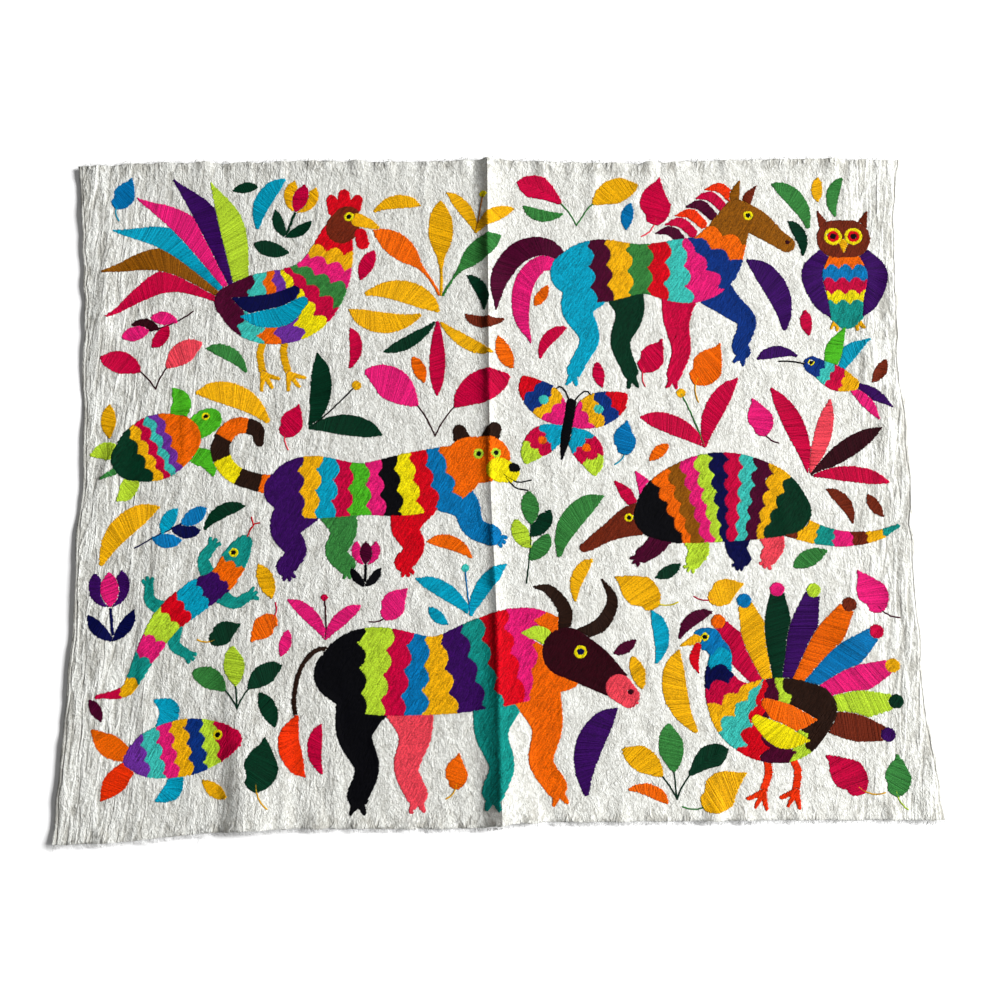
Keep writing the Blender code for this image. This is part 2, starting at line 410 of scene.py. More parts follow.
class Chart:
    """Which stitched area owns each cell of the cloth: 0 is bare cotton."""

    def __init__(self, seed=3):
        self.owner = np.zeros((int(2 * CHART_Y / CELL), int(2 * CHART_X / CELL)), np.int16)
        self.areas = [None]
        self.banded = [-1]
        self.rng = np.random.default_rng(seed)

    def owners_at(self, points):
        """The owners of the cells under an array of points."""
        cells = ((points + CENTRE) / CELL).astype(int)
        return self.owner[cells[..., 1], cells[..., 0]]

    def window(self, path):
        """The part of the chart round a path, with its cells' middles."""
        reach = path[:, 2].max() + GAP
        low = np.floor((path[:, :2].min(0) - reach + CENTRE) / CELL).astype(int)
        high = np.ceil((path[:, :2].max(0) + reach + CENTRE) / CELL).astype(int)
        xs = (np.arange(low[0], high[0]) + 0.5) * CELL - CHART_X
        ys = (np.arange(low[1], high[1]) + 0.5) * CELL - CHART_Y
        return (slice(low[1], high[1]), slice(low[0], high[0])), xs, ys

    def measure(self, path):
        """For the cells round a path: depth, below 0 inside, and place along it and beside it."""
        window, xs, ys = self.window(path)
        depth = np.full((len(ys), len(xs)), 1e3, np.float32)
        nearest = np.full(depth.shape, 1e6, np.float32)
        place = np.zeros(depth.shape, np.float32)
        beside = np.zeros(depth.shape, np.float32)
        for (px, py, half_width), length, (tx, ty) in zip(path, lengths(path), directions(path)):
            dx = xs[None, :] - px
            dy = ys[:, None] - py
            squared = dx * dx + dy * dy
            depth = np.minimum(depth, np.sqrt(squared) - half_width)
            closer = squared < nearest
            nearest = np.where(closer, squared, nearest)
            place = np.where(closer, length + dx * tx + dy * ty, place)
            beside = np.where(closer, dx * -ty + dy * tx, beside)
        return window, depth, place, beside

    def bands(self, part, place, beside, length):
        """The colour number of each cell, and the cells on the line between two bands."""
        count = len(part.colours)
        numbers = np.array([COLOURS.index(colour) for colour in part.colours])
        band = np.zeros(place.shape, int)
        seam = np.zeros(place.shape, bool)
        rise, period = part.wave
        for index in range(1, count):
            shift = self.rng.uniform(-UNEVEN_BANDS, UNEVEN_BANDS) * length / count
            phase = self.rng.uniform(0, 1)
            wave = rise * (np.abs(np.sin(np.pi * (beside / period + phase))) - 0.5)
            ahead = place - (length * index / count + shift + wave)
            band += ahead > 0
            seam |= np.abs(ahead) < SEAM / 2
        return numbers[band], seam

    def new_area(self, kind, colours, hatch, path, banded=-1):
        """Adds an area and gives its label."""
        self.areas.append(Area(kind, colours, hatch, path))
        self.banded.append(banded)
        return len(self.areas) - 1

    def add(self, part, hatch):
        """Gives a part its cells, with a line of bare cotton round it, but not to its own colour."""
        path = smooth_path(part.points)
        window, depth, place, beside = self.measure(path)
        owner = self.owner[window]
        inside = depth < 0
        around = (depth >= 0) & (depth < GAP)
        if part.kind == "fill":
            numbers, seam = self.bands(part, place, beside, lengths(path)[-1])
            labels = np.zeros(numbers.shape, np.int16)
            for number in sorted(set(numbers[inside])):
                labels[numbers == number] = self.new_area("fill", (COLOURS[number],), hatch, None, number)
            owner[around & (np.array(self.banded)[owner] != numbers)] = 0
            owner[inside] = np.where(seam, 0, labels)[inside]
            return
        label = self.new_area(part.kind, part.colours, hatch, path)
        if part.kind != "line":
            owner[around] = 0
        owner[inside] = label

    def is_free(self, path, room):
        """True if the path and the room beside it lie on bare cotton, clear of the cloth's edges."""
        ahead = directions(path)
        across = np.stack([-ahead[:, 1], ahead[:, 0]], 1)
        before, after = path[:1, :2] - ahead[:1] * room, path[-1:, :2] + ahead[-1:] * room
        centres = np.vstack([before, path[:, :2], after])
        across = np.vstack([across[:1], across, across[-1:]])
        widths = np.concatenate([path[:1, 2], path[:, 2], path[-1:, 2]]) + room
        shares = np.linspace(-1, 1, ROOM_PROBES)
        points = centres[:, None, :] + across[:, None, :] * (widths[:, None, None] * shares[None, :, None])
        if np.abs(points[..., 0]).max() > STITCHED_X:
            return False
        if points[..., 1].min() < STITCHED_Y[0] or points[..., 1].max() > STITCHED_Y[1]:
            return False
        return not (self.owners_at(points) > 0).any()


def cover_map(chart):
    """How much of the cotton is stitched over, in blocks of cells, blurred a little."""
    rows, columns = (size // COVER_CELLS for size in chart.owner.shape)
    blocks = chart.owner[: rows * COVER_CELLS, : columns * COVER_CELLS] > 0
    cover = blocks.reshape(rows, COVER_CELLS, columns, COVER_CELLS).mean((1, 3))
    padded = np.pad(cover, 1, mode="edge")
    return (padded[:-2, 1:-1] + padded[2:, 1:-1] + padded[1:-1, :-2] + padded[1:-1, 2:] + 2 * cover) / 6


def read_cover(stitched, x, y):
    """How much is stitched over at points in metres."""
    block = COVER_CELLS * CELL
    return read_grid(stitched, (x / MM + CHART_X) / block - 0.5, (y / MM + CHART_Y) / block - 0.5)


# Feet, in millimetres and degrees
PAW = 10
BIRD_SHANK = 3.4
BIRD_SPREAD = 38


def hoof(x, y, heading, colour, size=7.0):
    """Two short toes that splay from the end of a leg."""
    toes = []
    for side in (-1, 1):
        angle = math.radians(heading + 24 * side)
        tip = (x + size * 1.7 * math.cos(angle), y + size * 1.7 * math.sin(angle))
        toes.append(fill([(x, y, size * 0.52), (*tip, size * 0.14)], colour))
    return toes


def claws(x, y, heading, colour, size=8.0, spread=32, count=3):
    """Toes that fan out from the end of a leg."""
    toes = []
    for index in range(count):
        angle = math.radians(heading + spread * (index - (count - 1) / 2))
        tip = (x + size * math.cos(angle), y + size * math.sin(angle))
        toes.append(fill([(x, y, 2.4), (*tip, 1.1)], colour))
    return toes


def hoofed(points, foot, colour, size=7.0):
    """A leg and its hoof, whose foot is a place and a heading."""
    return [fill(points, colour), *hoof(*foot, colour, size)]


def clawed(points, foot, colour):
    """A leg and its paw, whose foot is a place and a heading."""
    return [fill(points, colour), *claws(*foot, colour, PAW)]


def bird_leg(points, foot, colour, size):
    """A thin leg and its long toes."""
    return [line(points, colour, BIRD_SHANK), *claws(*foot, colour, size, BIRD_SPREAD)]


def both_sides(part):
    """A part's mirror image, then the part."""
    return [placed(part, 0, 0, -1), part]


def eye(x, y, radius, ring, pupil):
    """A round eye with its pupil."""
    return [dot(x, y, radius, ring), dot(x, y, radius * 0.45, pupil)]


def horse():
    mane = []
    for index, colour in enumerate(("plum", "crimson", "scarlet") * 2):
        x, y = 150 + 10.5 * index, 158 + 9.5 * index
        mane.append(satin([(x, y - 6, 4.8), (x - 12, y + 5, 5.0), (x - 27, y + 3, 0.6)], colour))
    return [
        satin([(30, 128, 5), (8, 146, 9), (-20, 140, 11), (-40, 112, 9), (-44, 78, 0.6)], "plum"),
        satin([(26, 122, 4), (4, 128, 8), (-14, 108, 10), (-18, 74, 8), (-8, 44, 0.6)], "pink"),
        *hoofed([(62, 112, 25), (40, 82, 16), (52, 48, 9.5), (36, 14, 7)], (35, 10, 262), "cyan"),
        *hoofed([(84, 108, 21), (94, 76, 14), (84, 44, 9.5), (94, 12, 7)], (95, 8, 275), "bottle_green"),
        *hoofed([(148, 108, 21), (142, 68, 13), (146, 36, 9), (138, 10, 7)], (137, 7, 262), "crimson"),
        *hoofed(
            [(172, 108, 21), (196, 84, 13), (214, 66, 9), (206, 40, 7.5), (210, 34, 6.5)],
            (208, 32, 250), "royal_blue",
        ),
        *mane,
        fill(
            [(36, 118, 23), (62, 120, 33), (108, 122, 26), (152, 120, 34), (176, 128, 31), (192, 150, 23),
             (204, 176, 16)],
            "cyan", "plum", "amber", "forest_green", "red", "turquoise", "pink", "royal_blue", "orange",
            "ochre", wave=(7, 24),
        ),
        satin([(206, 190, 4.5), (206, 204, 4.6), (211, 217, 0.6)], "ochre"),
        satin([(216, 188, 4.2), (220, 201, 4.4), (228, 212, 0.6)], "brown"),
        fill([(208, 182, 15), (228, 172, 13), (248, 156, 9), (258, 149, 8)], "ochre"),
        *eye(219, 180, 4.2, "yellow", "black"),
        dot(259, 151, 1.6, "maroon"),
    ]


def bull():
    return [
        line([(30, 128), (10, 134), (-6, 118), (-12, 92), (-10, 72)], "dark_brown", 1.8),
        satin([(-10, 76, 2), (-17, 58, 8.5), (-12, 38, 7.5), (-4, 26, 0.6)], "scarlet"),
        *hoofed([(52, 98, 26), (40, 62, 15), (50, 32, 10), (42, 8, 9)], (42, 6, 268), "black", 8),
        *hoofed([(84, 94, 24), (92, 60, 14), (84, 30, 10), (92, 8, 9)], (92, 6, 272), "coral", 8),
        *hoofed([(168, 96, 24), (158, 60, 14), (166, 30, 10), (158, 8, 9)], (158, 6, 268), "teal", 8),
        *hoofed([(196, 96, 22), (206, 62, 13), (200, 32, 10), (212, 10, 9)], (213, 8, 280), "orange", 8),
        fill(
            [(28, 112, 22), (56, 114, 37), (112, 108, 33), (160, 118, 39), (192, 124, 39), (218, 118, 27)],
            "black", "lime", "crimson", "sky_blue", "amber", "purple", "teal", "red", "pink", "orange",
            wave=(7, 26),
        ),
        satin([(236, 138, 5), (258, 148, 6), (268, 168, 4.5), (260, 186, 0.7)], "dark_brown"),
        satin([(224, 142, 5), (226, 160, 6), (214, 178, 4.5), (200, 182, 0.7)], "dark_brown"),
        veined([(216, 128, 3), (204, 140, 7), (188, 142, 0.6)], "lime"),
        fill([(226, 124, 21), (246, 112, 18), (264, 98, 13), (272, 90, 11)], "maroon"),
        fill([(270, 92, 11), (278, 84, 9)], "coral"),
        *eye(238, 124, 5, "yellow", "navy"),
        dot(280, 88, 1.8, "maroon"),
    ]


def jaguar():
    return [
        fill(
            [(34, 88, 11), (6, 92, 8.5), (-22, 104, 8.5), (-34, 128, 8.5), (-20, 150, 8), (2, 148, 7),
             (6, 134, 4)],
            "orange", "dark_brown", "yellow", "dark_brown", "orange", "dark_brown", wave=(0, 12),
        ),
        *clawed([(52, 74, 24), (32, 46, 15), (42, 22, 10), (32, 6, 9)], (33, 3, 285), "purple"),
        *clawed([(80, 70, 20), (90, 42, 13), (82, 20, 10), (92, 6, 9)], (93, 3, 285), "forest_green"),
        *clawed([(166, 72, 22), (152, 44, 14), (160, 22, 10), (150, 6, 9)], (151, 3, 285), "red"),
        *clawed(
            [(190, 80, 22), (212, 62, 14), (220, 40, 10.5), (238, 30, 9.5)],
            (242, 28, 330), "sky_blue",
        ),
        fill(
            [(30, 84, 19), (56, 86, 31), (108, 82, 26), (160, 86, 31), (196, 94, 28), (212, 102, 21)],
            "purple", "amber", "cyan", "crimson", "leaf_green", "pink", "black", "yellow", "red",
            "sky_blue", "orange", wave=(6, 23),
        ),
        fill([(212, 128, 8), (209, 138, 6)], "dark_brown"),
        fill([(240, 130, 8), (245, 139, 6)], "dark_brown"),
        fill([(218, 108, 23), (236, 108, 23)], "orange"),
        fill([(248, 97, 12), (258, 94, 10)], "yellow"),
        fill([(262, 99, 4), (265, 98, 3.5)], "black"),
        *eye(228, 114, 4.6, "lime", "black"),
        *eye(245, 114, 4.2, "lime", "black"),
        line([(252, 92), (266, 84), (280, 85)], "black"),
        line([(254, 89), (264, 78), (276, 75)], "black"),
    ]


def armadillo():
    return [
        fill(
            [(40, 44, 16), (12, 30, 11), (-22, 22, 8), (-58, 24, 5), (-84, 34, 1.4)],
            "brown", "amber", "teal", "pink", "brown", "amber", "teal", wave=(3, 10),
        ),
        *clawed([(62, 42, 16), (56, 18, 11), (62, 5, 9)], (63, 2, 300), "coral"),
        *clawed([(94, 34, 15), (98, 16, 11), (92, 4, 9)], (94, 1, 300), "navy"),
        *clawed([(146, 36, 15), (140, 16, 11), (146, 4, 9)], (148, 1, 300), "lime"),
        *clawed([(176, 40, 14), (188, 22, 10), (202, 12, 8)], (206, 10, 320), "plum"),
        satin([(196, 70, 4.5), (196, 88, 7.5), (206, 106, 0.7)], "pink"),
        satin([(208, 66, 4), (218, 82, 6.5), (230, 96, 0.7)], "crimson"),
        fill([(188, 54, 20), (214, 50, 16), (240, 38, 9), (260, 26, 6), (268, 22, 4)], "brown"),
        fill(
            [(38, 56, 26), (66, 68, 42), (112, 74, 50), (158, 66, 42), (184, 56, 26)],
            "bottle_green", "amber", "plum", "turquoise", "crimson", "navy", "lime", "pink", "ochre",
            "orange", "black", wave=(5, 18),
        ),
        *eye(216, 54, 4, "yellow", "black"),
    ]


def rooster():
    plumes = (
        (168, 118, 62, "crimson"), (154, 134, 42, "ochre"), (141, 140, 20, "cyan"),
        (128, 138, 0, "pink"), (113, 126, -16, "purple"), (98, 104, -28, "lime"),
    )
    tail = []
    for start, reach, sag, colour in plumes:
        angle = math.radians(start)
        x, y = 74 + 12 * math.cos(angle), 88 + 12 * math.sin(angle)
        middle = (x + 0.55 * reach * math.cos(angle), y + 0.55 * reach * math.sin(angle) + 12)
        tip = (x + reach * math.cos(angle) - 14, y + reach * math.sin(angle) - sag * 0.55)
        tail.append(satin([(x, y, 7), (*middle, 12.5), (*tip, 0.8)], colour))
    return [
        *tail,
        *bird_leg([(116, 54), (112, 30), (116, 8)], (116, 8, 305), "amber", 17),
        *bird_leg([(96, 54), (88, 32), (90, 10)], (90, 10, 300), "amber", 17),
        fill(
            [(62, 88, 18), (92, 80, 36), (124, 82, 38), (148, 98, 31), (164, 126, 23), (172, 152, 16)],
            "plum", "turquoise", "orange", "violet", "yellow", "crimson", "forest_green", "pink", "amber",
            "red", wave=(7, 20),
        ),
        satin([(126, 96, 5), (108, 84, 11), (82, 84, 9), (62, 92, 0.8)], "navy"),
        satin([(134, 84, 5), (114, 70, 10), (90, 68, 8), (70, 72, 0.8)], "cyan"),
        fill([(172, 180, 7), (169, 191, 5)], "red"),
        fill([(182, 183, 7), (182, 196, 5.4)], "red"),
        fill([(191, 179, 6.5), (196, 190, 4.6)], "red"),
        fill([(178, 160, 16), (184, 168, 15)], "brown"),
        satin([(195, 168, 7), (208, 162, 4.5), (217, 157, 0.7)], "amber"),
        fill([(197, 152, 5.6), (199, 142, 6)], "red"),
        *eye(186, 172, 4.2, "yellow", "black"),
    ]


def turkey():
    fan = []
    colours = ("crimson", "amber", "bottle_green", "purple", "orange", "sky_blue", "pink", "lime", "brown")
    for index, colour in enumerate(colours):
        angle = math.radians(56 + 17 * index)
        cos, sin = math.cos(angle), math.sin(angle)
        reach = 118 - 2.2 * abs(index - 4) ** 1.6
        rows = ((34, 7), (0.72 * reach, 13), (reach, 8))
        fan.append(satin([(66 + far * cos, 82 + far * sin, half) for far, half in rows], colour))
        tip = (66 + (reach + 8.5) * cos, 82 + (reach + 8.5) * sin)
        fan.append(dot(*tip, 6.2, colours[(index + 4) % len(colours)]))
    return [
        *fan,
        *bird_leg([(84, 44), (80, 24), (86, 6)], (86, 5, 300), "scarlet", 16),
        *bird_leg([(60, 44), (52, 26), (54, 8)], (54, 6, 300), "scarlet", 16),
        fill(
            [(36, 84, 24), (66, 74, 40), (96, 76, 33), (116, 92, 22), (126, 116, 13), (124, 138, 10),
             (134, 152, 9)],
            "dark_brown", "lime", "plum", "red", "turquoise", "amber", "crimson", "navy", "cyan",
            "sky_blue", wave=(7, 21),
        ),
        satin([(80, 90, 5), (58, 76, 12), (32, 74, 0.8)], "orange"),
        satin([(90, 74, 5), (66, 58, 11), (40, 54, 0.8)], "yellow"),
        fill([(134, 152, 11), (140, 153, 10)], "sky_blue"),
        satin([(148, 152, 5), (163, 146, 0.7)], "amber"),
        satin([(146, 146, 3), (150, 133, 4.4), (146, 120, 0.7)], "red"),
        *eye(139, 155, 3.4, "yellow", "black"),
    ]


def owl():
    parts = [
        *claws(-12, -2, 270, "amber", 13, 34),
        *claws(12, -2, 270, "amber", 13, 34),
        fill(
            [(0, 4, 17), (0, 28, 31), (0, 62, 31), (0, 78, 27)],
            "teal", "yellow", "crimson", "sky_blue", "orange", wave=(6, 15),
        ),
        *both_sides(satin([(24, 82, 6), (40, 56, 12), (31, 22, 9), (20, 2, 0.8)], "purple")),
        *both_sides(satin([(22, 112, 7), (26, 124, 4), (30, 134, 0.7)], "brown")),
        fill([(-9, 100, 23), (9, 100, 23)], "brown"),
        satin([(0, 94, 5), (0, 83, 0.8)], "amber"),
    ]
    for side in (-1, 1):
        for radius, colour in ((10, "yellow"), (6.4, "red"), (3, "black")):
            parts.append(dot(12.5 * side, 103, radius, colour))
    return parts


def butterfly():
    parts = []
    for side in (-1, 1):
        parts += [
            fill(
                [(6 * side, 36, 8), (30 * side, 54, 20), (50 * side, 66, 15), (62 * side, 78, 4)],
                "pink", "amber", "royal_blue", "red", wave=(4, 15),
            ),
            fill(
                [(6 * side, 22, 7), (26 * side, 8, 17), (38 * side, -8, 12), (42 * side, -22, 3)],
                "cyan", "crimson", "lime", wave=(4, 13),
            ),
            dot(34 * side, 57, 5, "turquoise"),
            dot(27 * side, 7, 4.4, "orange"),
            line([(2 * side, 58), (8 * side, 70), (16 * side, 77), (22 * side, 73)], "black"),
        ]
    parts.append(satin([(0, -12, 1), (0, 14, 5.5), (0, 40, 5.5), (0, 58, 6)], "black"))
    return parts


def turtle():
    return [
        satin([(-34, 8, 6), (-50, 20, 9), (-66, 22, 0.8)], "lime"),
        satin([(-30, -14, 6), (-44, -28, 9), (-58, -34, 0.8)], "lime"),
        satin([(28, 18, 6), (42, 36, 10), (40, 54, 0.8)], "leaf_green"),
        satin([(28, -18, 6), (44, -32, 10), (44, -50, 0.8)], "leaf_green"),
        satin([(-44, -4, 4), (-64, -6, 0.8)], "forest_green"),
        fill([(40, 2, 10), (56, 6, 13), (64, 7, 11)], "leaf_green"),
        fill(
            [(-26, 0, 22), (0, 2, 34), (24, 2, 24)],
            "bottle_green", "amber", "crimson", "turquoise", "violet", "orange", wave=(5, 18),
        ),
        *eye(60, 12, 3.4, "yellow", "black"),
    ]


def fish():
    return [
        satin([(-6, 4, 5), (-24, 18, 10), (-37, 35, 0.8)], "orange"),
        satin([(-6, -2, 5), (-24, -16, 10), (-39, -29, 0.8)], "scarlet"),
        satin([(24, 20, 5), (36, 38, 9), (24, 50, 0.8)], "cyan"),
        satin([(34, -18, 5), (26, -34, 8), (10, -40, 0.8)], "cyan"),
        fill(
            [(-6, 1, 7), (16, 2, 21), (46, 2, 25), (72, 1, 18), (88, 0, 10)],
            "violet", "turquoise", "pink", "amber", "royal_blue", "lime", "crimson", wave=(5, 16),
        ),
        *eye(76, 7, 4, "yellow", "black"),
    ]


def lizard():
    legs = []
    for x, y, heading, side in ((32, 24, 118, 1), (30, 8, 238, -1), (82, 28, 78, 1), (80, 10, 300, -1)):
        upper, lower = math.radians(heading), math.radians(heading) - 0.9 * side
        knee = (x + 18 * math.cos(upper), y + 18 * math.sin(upper))
        foot = (knee[0] + 14 * math.cos(lower), knee[1] + 14 * math.sin(lower))
        legs.append(fill([(x, y, 7), (*knee, 5), (*foot, 4)], "teal"))
        legs += claws(*foot, math.degrees(lower), "teal", 9, 34)
    return [
        *legs,
        fill(
            [(-66, -8, 1), (-40, -18, 5), (-10, -2, 9), (26, 16, 13), (60, 20, 15), (90, 20, 12),
             (112, 30, 12), (128, 38, 7)],
            "crimson", "amber", "teal", "pink", "lime", "red", "cyan", "purple", "orange", "teal",
            wave=(4, 13),
        ),
        *eye(114, 36, 3.6, "yellow", "black"),
        line([(133, 41), (144, 48), (150, 46)], "red"),
        line([(144, 48), (147, 55)], "red"),
    ]


def hummingbird():
    return [
        satin([(2, -4, 3), (-20, -18, 6), (-38, -34, 0.7)], "purple"),
        satin([(4, -8, 3), (-12, -28, 6), (-22, -46, 0.7)], "pink"),
        satin([(20, 8, 4), (2, 30, 9), (-24, 44, 0.8)], "cyan"),
        satin([(24, 10, 4), (16, 36, 9), (0, 60, 0.8)], "leaf_green"),
        fill(
            [(2, -4, 7), (18, 4, 13), (34, 16, 10), (42, 22, 9)],
            "amber", "crimson", "turquoise", "royal_blue", wave=(3, 11),
        ),
        line([(50, 24), (64, 28), (78, 30)], "black", 0.9),
        *eye(43, 25, 2.8, "yellow", "black"),
    ]


Figure = namedtuple("Figure", "make x y facing turn size hatch")
FIGURES = (
    Figure(rooster, -345, 108, 1, 4, 1.06, 52),
    Figure(owl, 384, 188, 1, 0, 0.9, 64),
    Figure(horse, 48, 114, 1, 0, 1.06, 56),
    Figure(turtle, -362, 42, 1, 24, 1.02, 48),
    Figure(jaguar, -254, -92, 1, 2, 1.06, 58),
    Figure(butterfly, 74, 42, 1, -10, 0.88, 62),
    Figure(armadillo, 350, -76, -1, 2, 0.95, 54),
    Figure(lizard, -358, -172, 1, 34, 1.1, 50),
    Figure(bull, -190, -332, 1, 2, 1.2, 57),
    Figure(fish, -368, -284, 1, 12, 1.12, 60),
    Figure(turkey, 368, -322, -1, 0, 1.06, 53),
    Figure(hummingbird, 388, 118, -1, 6, 0.98, 58),
)


def chart_figures(chart):
    """The animals and birds, each over those before it."""
    for make, x, y, facing, turn, size, hatch in FIGURES:
        for part in make():
            chart.add(placed(part, x, y, facing, turn, size), hatch)


# Half widths along a leaf, as shares of the greatest
LEAF_FORM = (0.12, 0.72, 1.0, 0.78, 0.08)
SPOON_FORM = (0.09, 0.1, 0.13, 0.38, 0.84, 1.0, 0.74, 0.07)
PLUME_FORM = (0.2, 0.62, 0.94, 1.0, 0.76, 0.08)
HEART_FORM = (0.55, 0.95, 1.0, 0.7, 0.32, 0.06)
STEM_FORM = (1.0,) * 6


def walk(x, y, heading, length, curl, widths):
    """Points on a bending path, which sets out at a heading and turns by the curl on its way."""
    points = [(x, y, widths[0])]
    steps = len(widths) - 1
    for index, width in enumerate(widths[1:]):
        angle = math.radians(heading + curl * (index + 0.5) / steps)
        x += length / steps * math.cos(angle)
        y += length / steps * math.sin(angle)
        points.append((x, y, width))
    return points


def leaf(x, y, heading, length, half_width, curl, form, colour, kind=satin):
    """One leaf, whose form is its half widths from foot to tip."""
    return kind(walk(x, y, heading, length, curl, [half_width * share for share in form]), colour)


def stem(x, y, heading, length, curl, colour):
    """A thin stalk, and the point where it ends."""
    points = [(px, py) for px, py, _ in walk(x, y, heading, length, curl, STEM_FORM)]
    return line(points, colour), points[-1]


def spray(rng, size, colours, most, least_reach, apart, splay, breadth, curl, form):
    """Leaves that spread from one foot: at least three, and fewer than the most."""
    count = int(rng.integers(3, most))
    parts = []
    for index in range(count):
        side = 2 * index / (count - 1) - 1
        reach = size * rng.uniform(least_reach, 1.05)
        colour = colours[index % len(colours)]
        heading = 90 - splay * side
        parts.append(leaf(apart * side, 0, heading, reach, reach * breadth, curl * side, form, colour))
    return parts


def fan(rng, size, colours):
    """Spoon-shaped leaves on their own long necks."""
    return spray(rng, size, colours, 6, 0.82, 2, 27, 0.125, -34, SPOON_FORM)


def plumes(rng, size, colours):
    """Long narrow leaves."""
    return spray(rng, size, colours, 5, 0.8, 4, 44, 0.105, -30, PLUME_FORM)


def stalks(rng, size, colours):
    """Broad leaves on thin stalks that spread from one foot."""
    count = int(rng.integers(2, 4))
    parts = []
    for index in range(count):
        side = 2 * index / (count - 1) - 1 + rng.uniform(-0.12, 0.12)
        stalk, (x, y) = stem(0, 0, 90 - 22 * side, size * 0.38, -20 * side, colours[-1])
        kind = veined if rng.random() < 0.35 else satin
        blade = leaf(x, y, 90 - 44 * side, size * 0.62, size * 0.165, -30 * side, LEAF_FORM,
                     colours[index % len(colours)], kind)
        parts += [stalk, blade]
    return parts


def pair(rng, size, colours):
    """Two curved leaves and a bud on a stalk between them."""
    parts = [stem(0, 0, 90, size * 0.7, rng.uniform(-16, 16), colours[-1])[0]]
    for side in (-1, 1):
        reach = size * rng.uniform(0.78, 1.0)
        parts.append(leaf(0, 0, 90 - 26 * side, reach, size * 0.115, -40 * side, PLUME_FORM, colours[0]))
    x, y, _ = parts[0].points[-1]
    return [*parts, dot(x, y, size * 0.045, colours[1])]


def drop(rng, size, colours):
    """One heart-shaped leaf on a curling stalk."""
    side = rng.choice((-1, 1))
    stalk, _ = stem(0, -1, 270 + 14 * side, size * 0.4, 60 * side, colours[1])
    return [stalk, leaf(0, 0, 90, size * 0.62, size * 0.23, 22 * side, HEART_FORM, colours[0])]


def branch(rng, size, colours):
    """A stalk with small leaves on both sides and one at its tip."""
    curl = rng.uniform(-40, 40)
    stalk, (x, y) = stem(0, 0, 90 - curl / 2, size * 0.76, curl, colours[-1])
    parts = [stalk]
    for index, (px, py, _) in enumerate(stalk.points[2:5]):
        side = 1 if index % 2 else -1
        colour = colours[index % len(colours)]
        parts.append(leaf(px, py, 90 + 48 * side, size * 0.4, size * 0.1, -30 * side, LEAF_FORM, colour))
    return [*parts, leaf(x, y, 90 + curl / 2, size * 0.4, size * 0.11, 10, LEAF_FORM, colours[0])]


def sickle(rng, size, colours):
    """One long curved leaf."""
    side = rng.choice((-1, 1))
    return [leaf(0, 0, 90, size, size * 0.14, 66 * side, PLUME_FORM, colours[0])]


def single(rng, size, colours):
    """One short pointed leaf."""
    side = rng.choice((-1, 1))
    return [leaf(0, 0, 90, size, size * 0.22, 18 * side, LEAF_FORM, colours[0])]


def tulip(rng, size, colours):
    """A flower of three petals on a stalk with two leaves."""
    parts = [line([(0, size * 0.12), (0, size * 0.5)], colours[-1], 1.2)]
    for side in (-1, 1):
        foot, cup = (0, size * 0.06, 90 - 54 * side), (3 * side, size * 0.5, 90 - 40 * side)
        parts.append(leaf(*foot, size * 0.46, size * 0.08, 30 * side, LEAF_FORM, colours[-1]))
        parts.append(leaf(*cup, size * 0.46, size * 0.1, 46 * side, LEAF_FORM, colours[0]))
    return [*parts, leaf(0, size * 0.5, 90, size * 0.42, size * 0.11, 0, LEAF_FORM, colours[1])]


# The colours of one plant; most stalks take the last
GARDEN = (
    ("amber", "crimson", "bottle_green"), ("orange", "amber", "forest_green"),
    ("cyan", "turquoise", "sky_blue"), ("crimson", "coral", "maroon"), ("plum", "pink", "dark_brown"),
    ("forest_green", "lime", "bottle_green"), ("amber", "yellow", "ochre"), ("purple", "pink", "navy"),
    ("pink", "crimson", "maroon"), ("sky_blue", "cyan", "navy"), ("brown", "orange", "dark_brown"),
    ("crimson", "amber", "forest_green"), ("amber", "forest_green", "bottle_green"),
    ("bottle_green", "amber", "black"), ("pink", "plum", "black"), ("orange", "crimson", "brown"),
)

# Large plants, placed one by one: the foot, the size, the turn and the colours
Bed = namedtuple("Bed", "make x y size turn colours")
BEDS = (
    Bed(fan, -58, 214, 112, 1, 1),
    Bed(plumes, -62, 182, 78, 180, 0),
    Bed(stalks, 188, -324, 76, 4, 12),
    Bed(stalks, -366, 108, 72, 8, 3),
    Bed(tulip, -136, -108, 54, 0, 14),
    Bed(stalks, -266, -232, 64, 4, 5),
    Bed(sickle, 170, -184, 56, -28, 2),
)

# Smaller plants, placed at random: the size, how many, and the room to leave round each
PLANTS = (
    (fan, 122, 6, 4.2), (stalks, 112, 5, 4.2), (plumes, 104, 5, 4.2), (pair, 96, 5, 4.2), (fan, 92, 8, 4),
    (stalks, 84, 8, 4), (tulip, 80, 2, 4), (sickle, 88, 8, 4), (branch, 78, 3, 4), (plumes, 76, 8, 4),
    (drop, 72, 8, 4), (pair, 66, 10, 4), (fan, 66, 10, 4), (sickle, 66, 14, 3.8), (plumes, 54, 10, 3.8),
    (drop, 52, 12, 3.8), (sickle, 48, 20, 3.6), (single, 38, 26, 3.6), (single, 28, 16, 3.6),
)
PLANT_X = (-428, 428)
PLANT_Y = (-336, 350)
PLANT_TURN = 34
HANGING_SHARE = 0.12
PLANT_SCALE = (0.9, 1.1)
PLANT_HATCH = 45
TRIES = 800


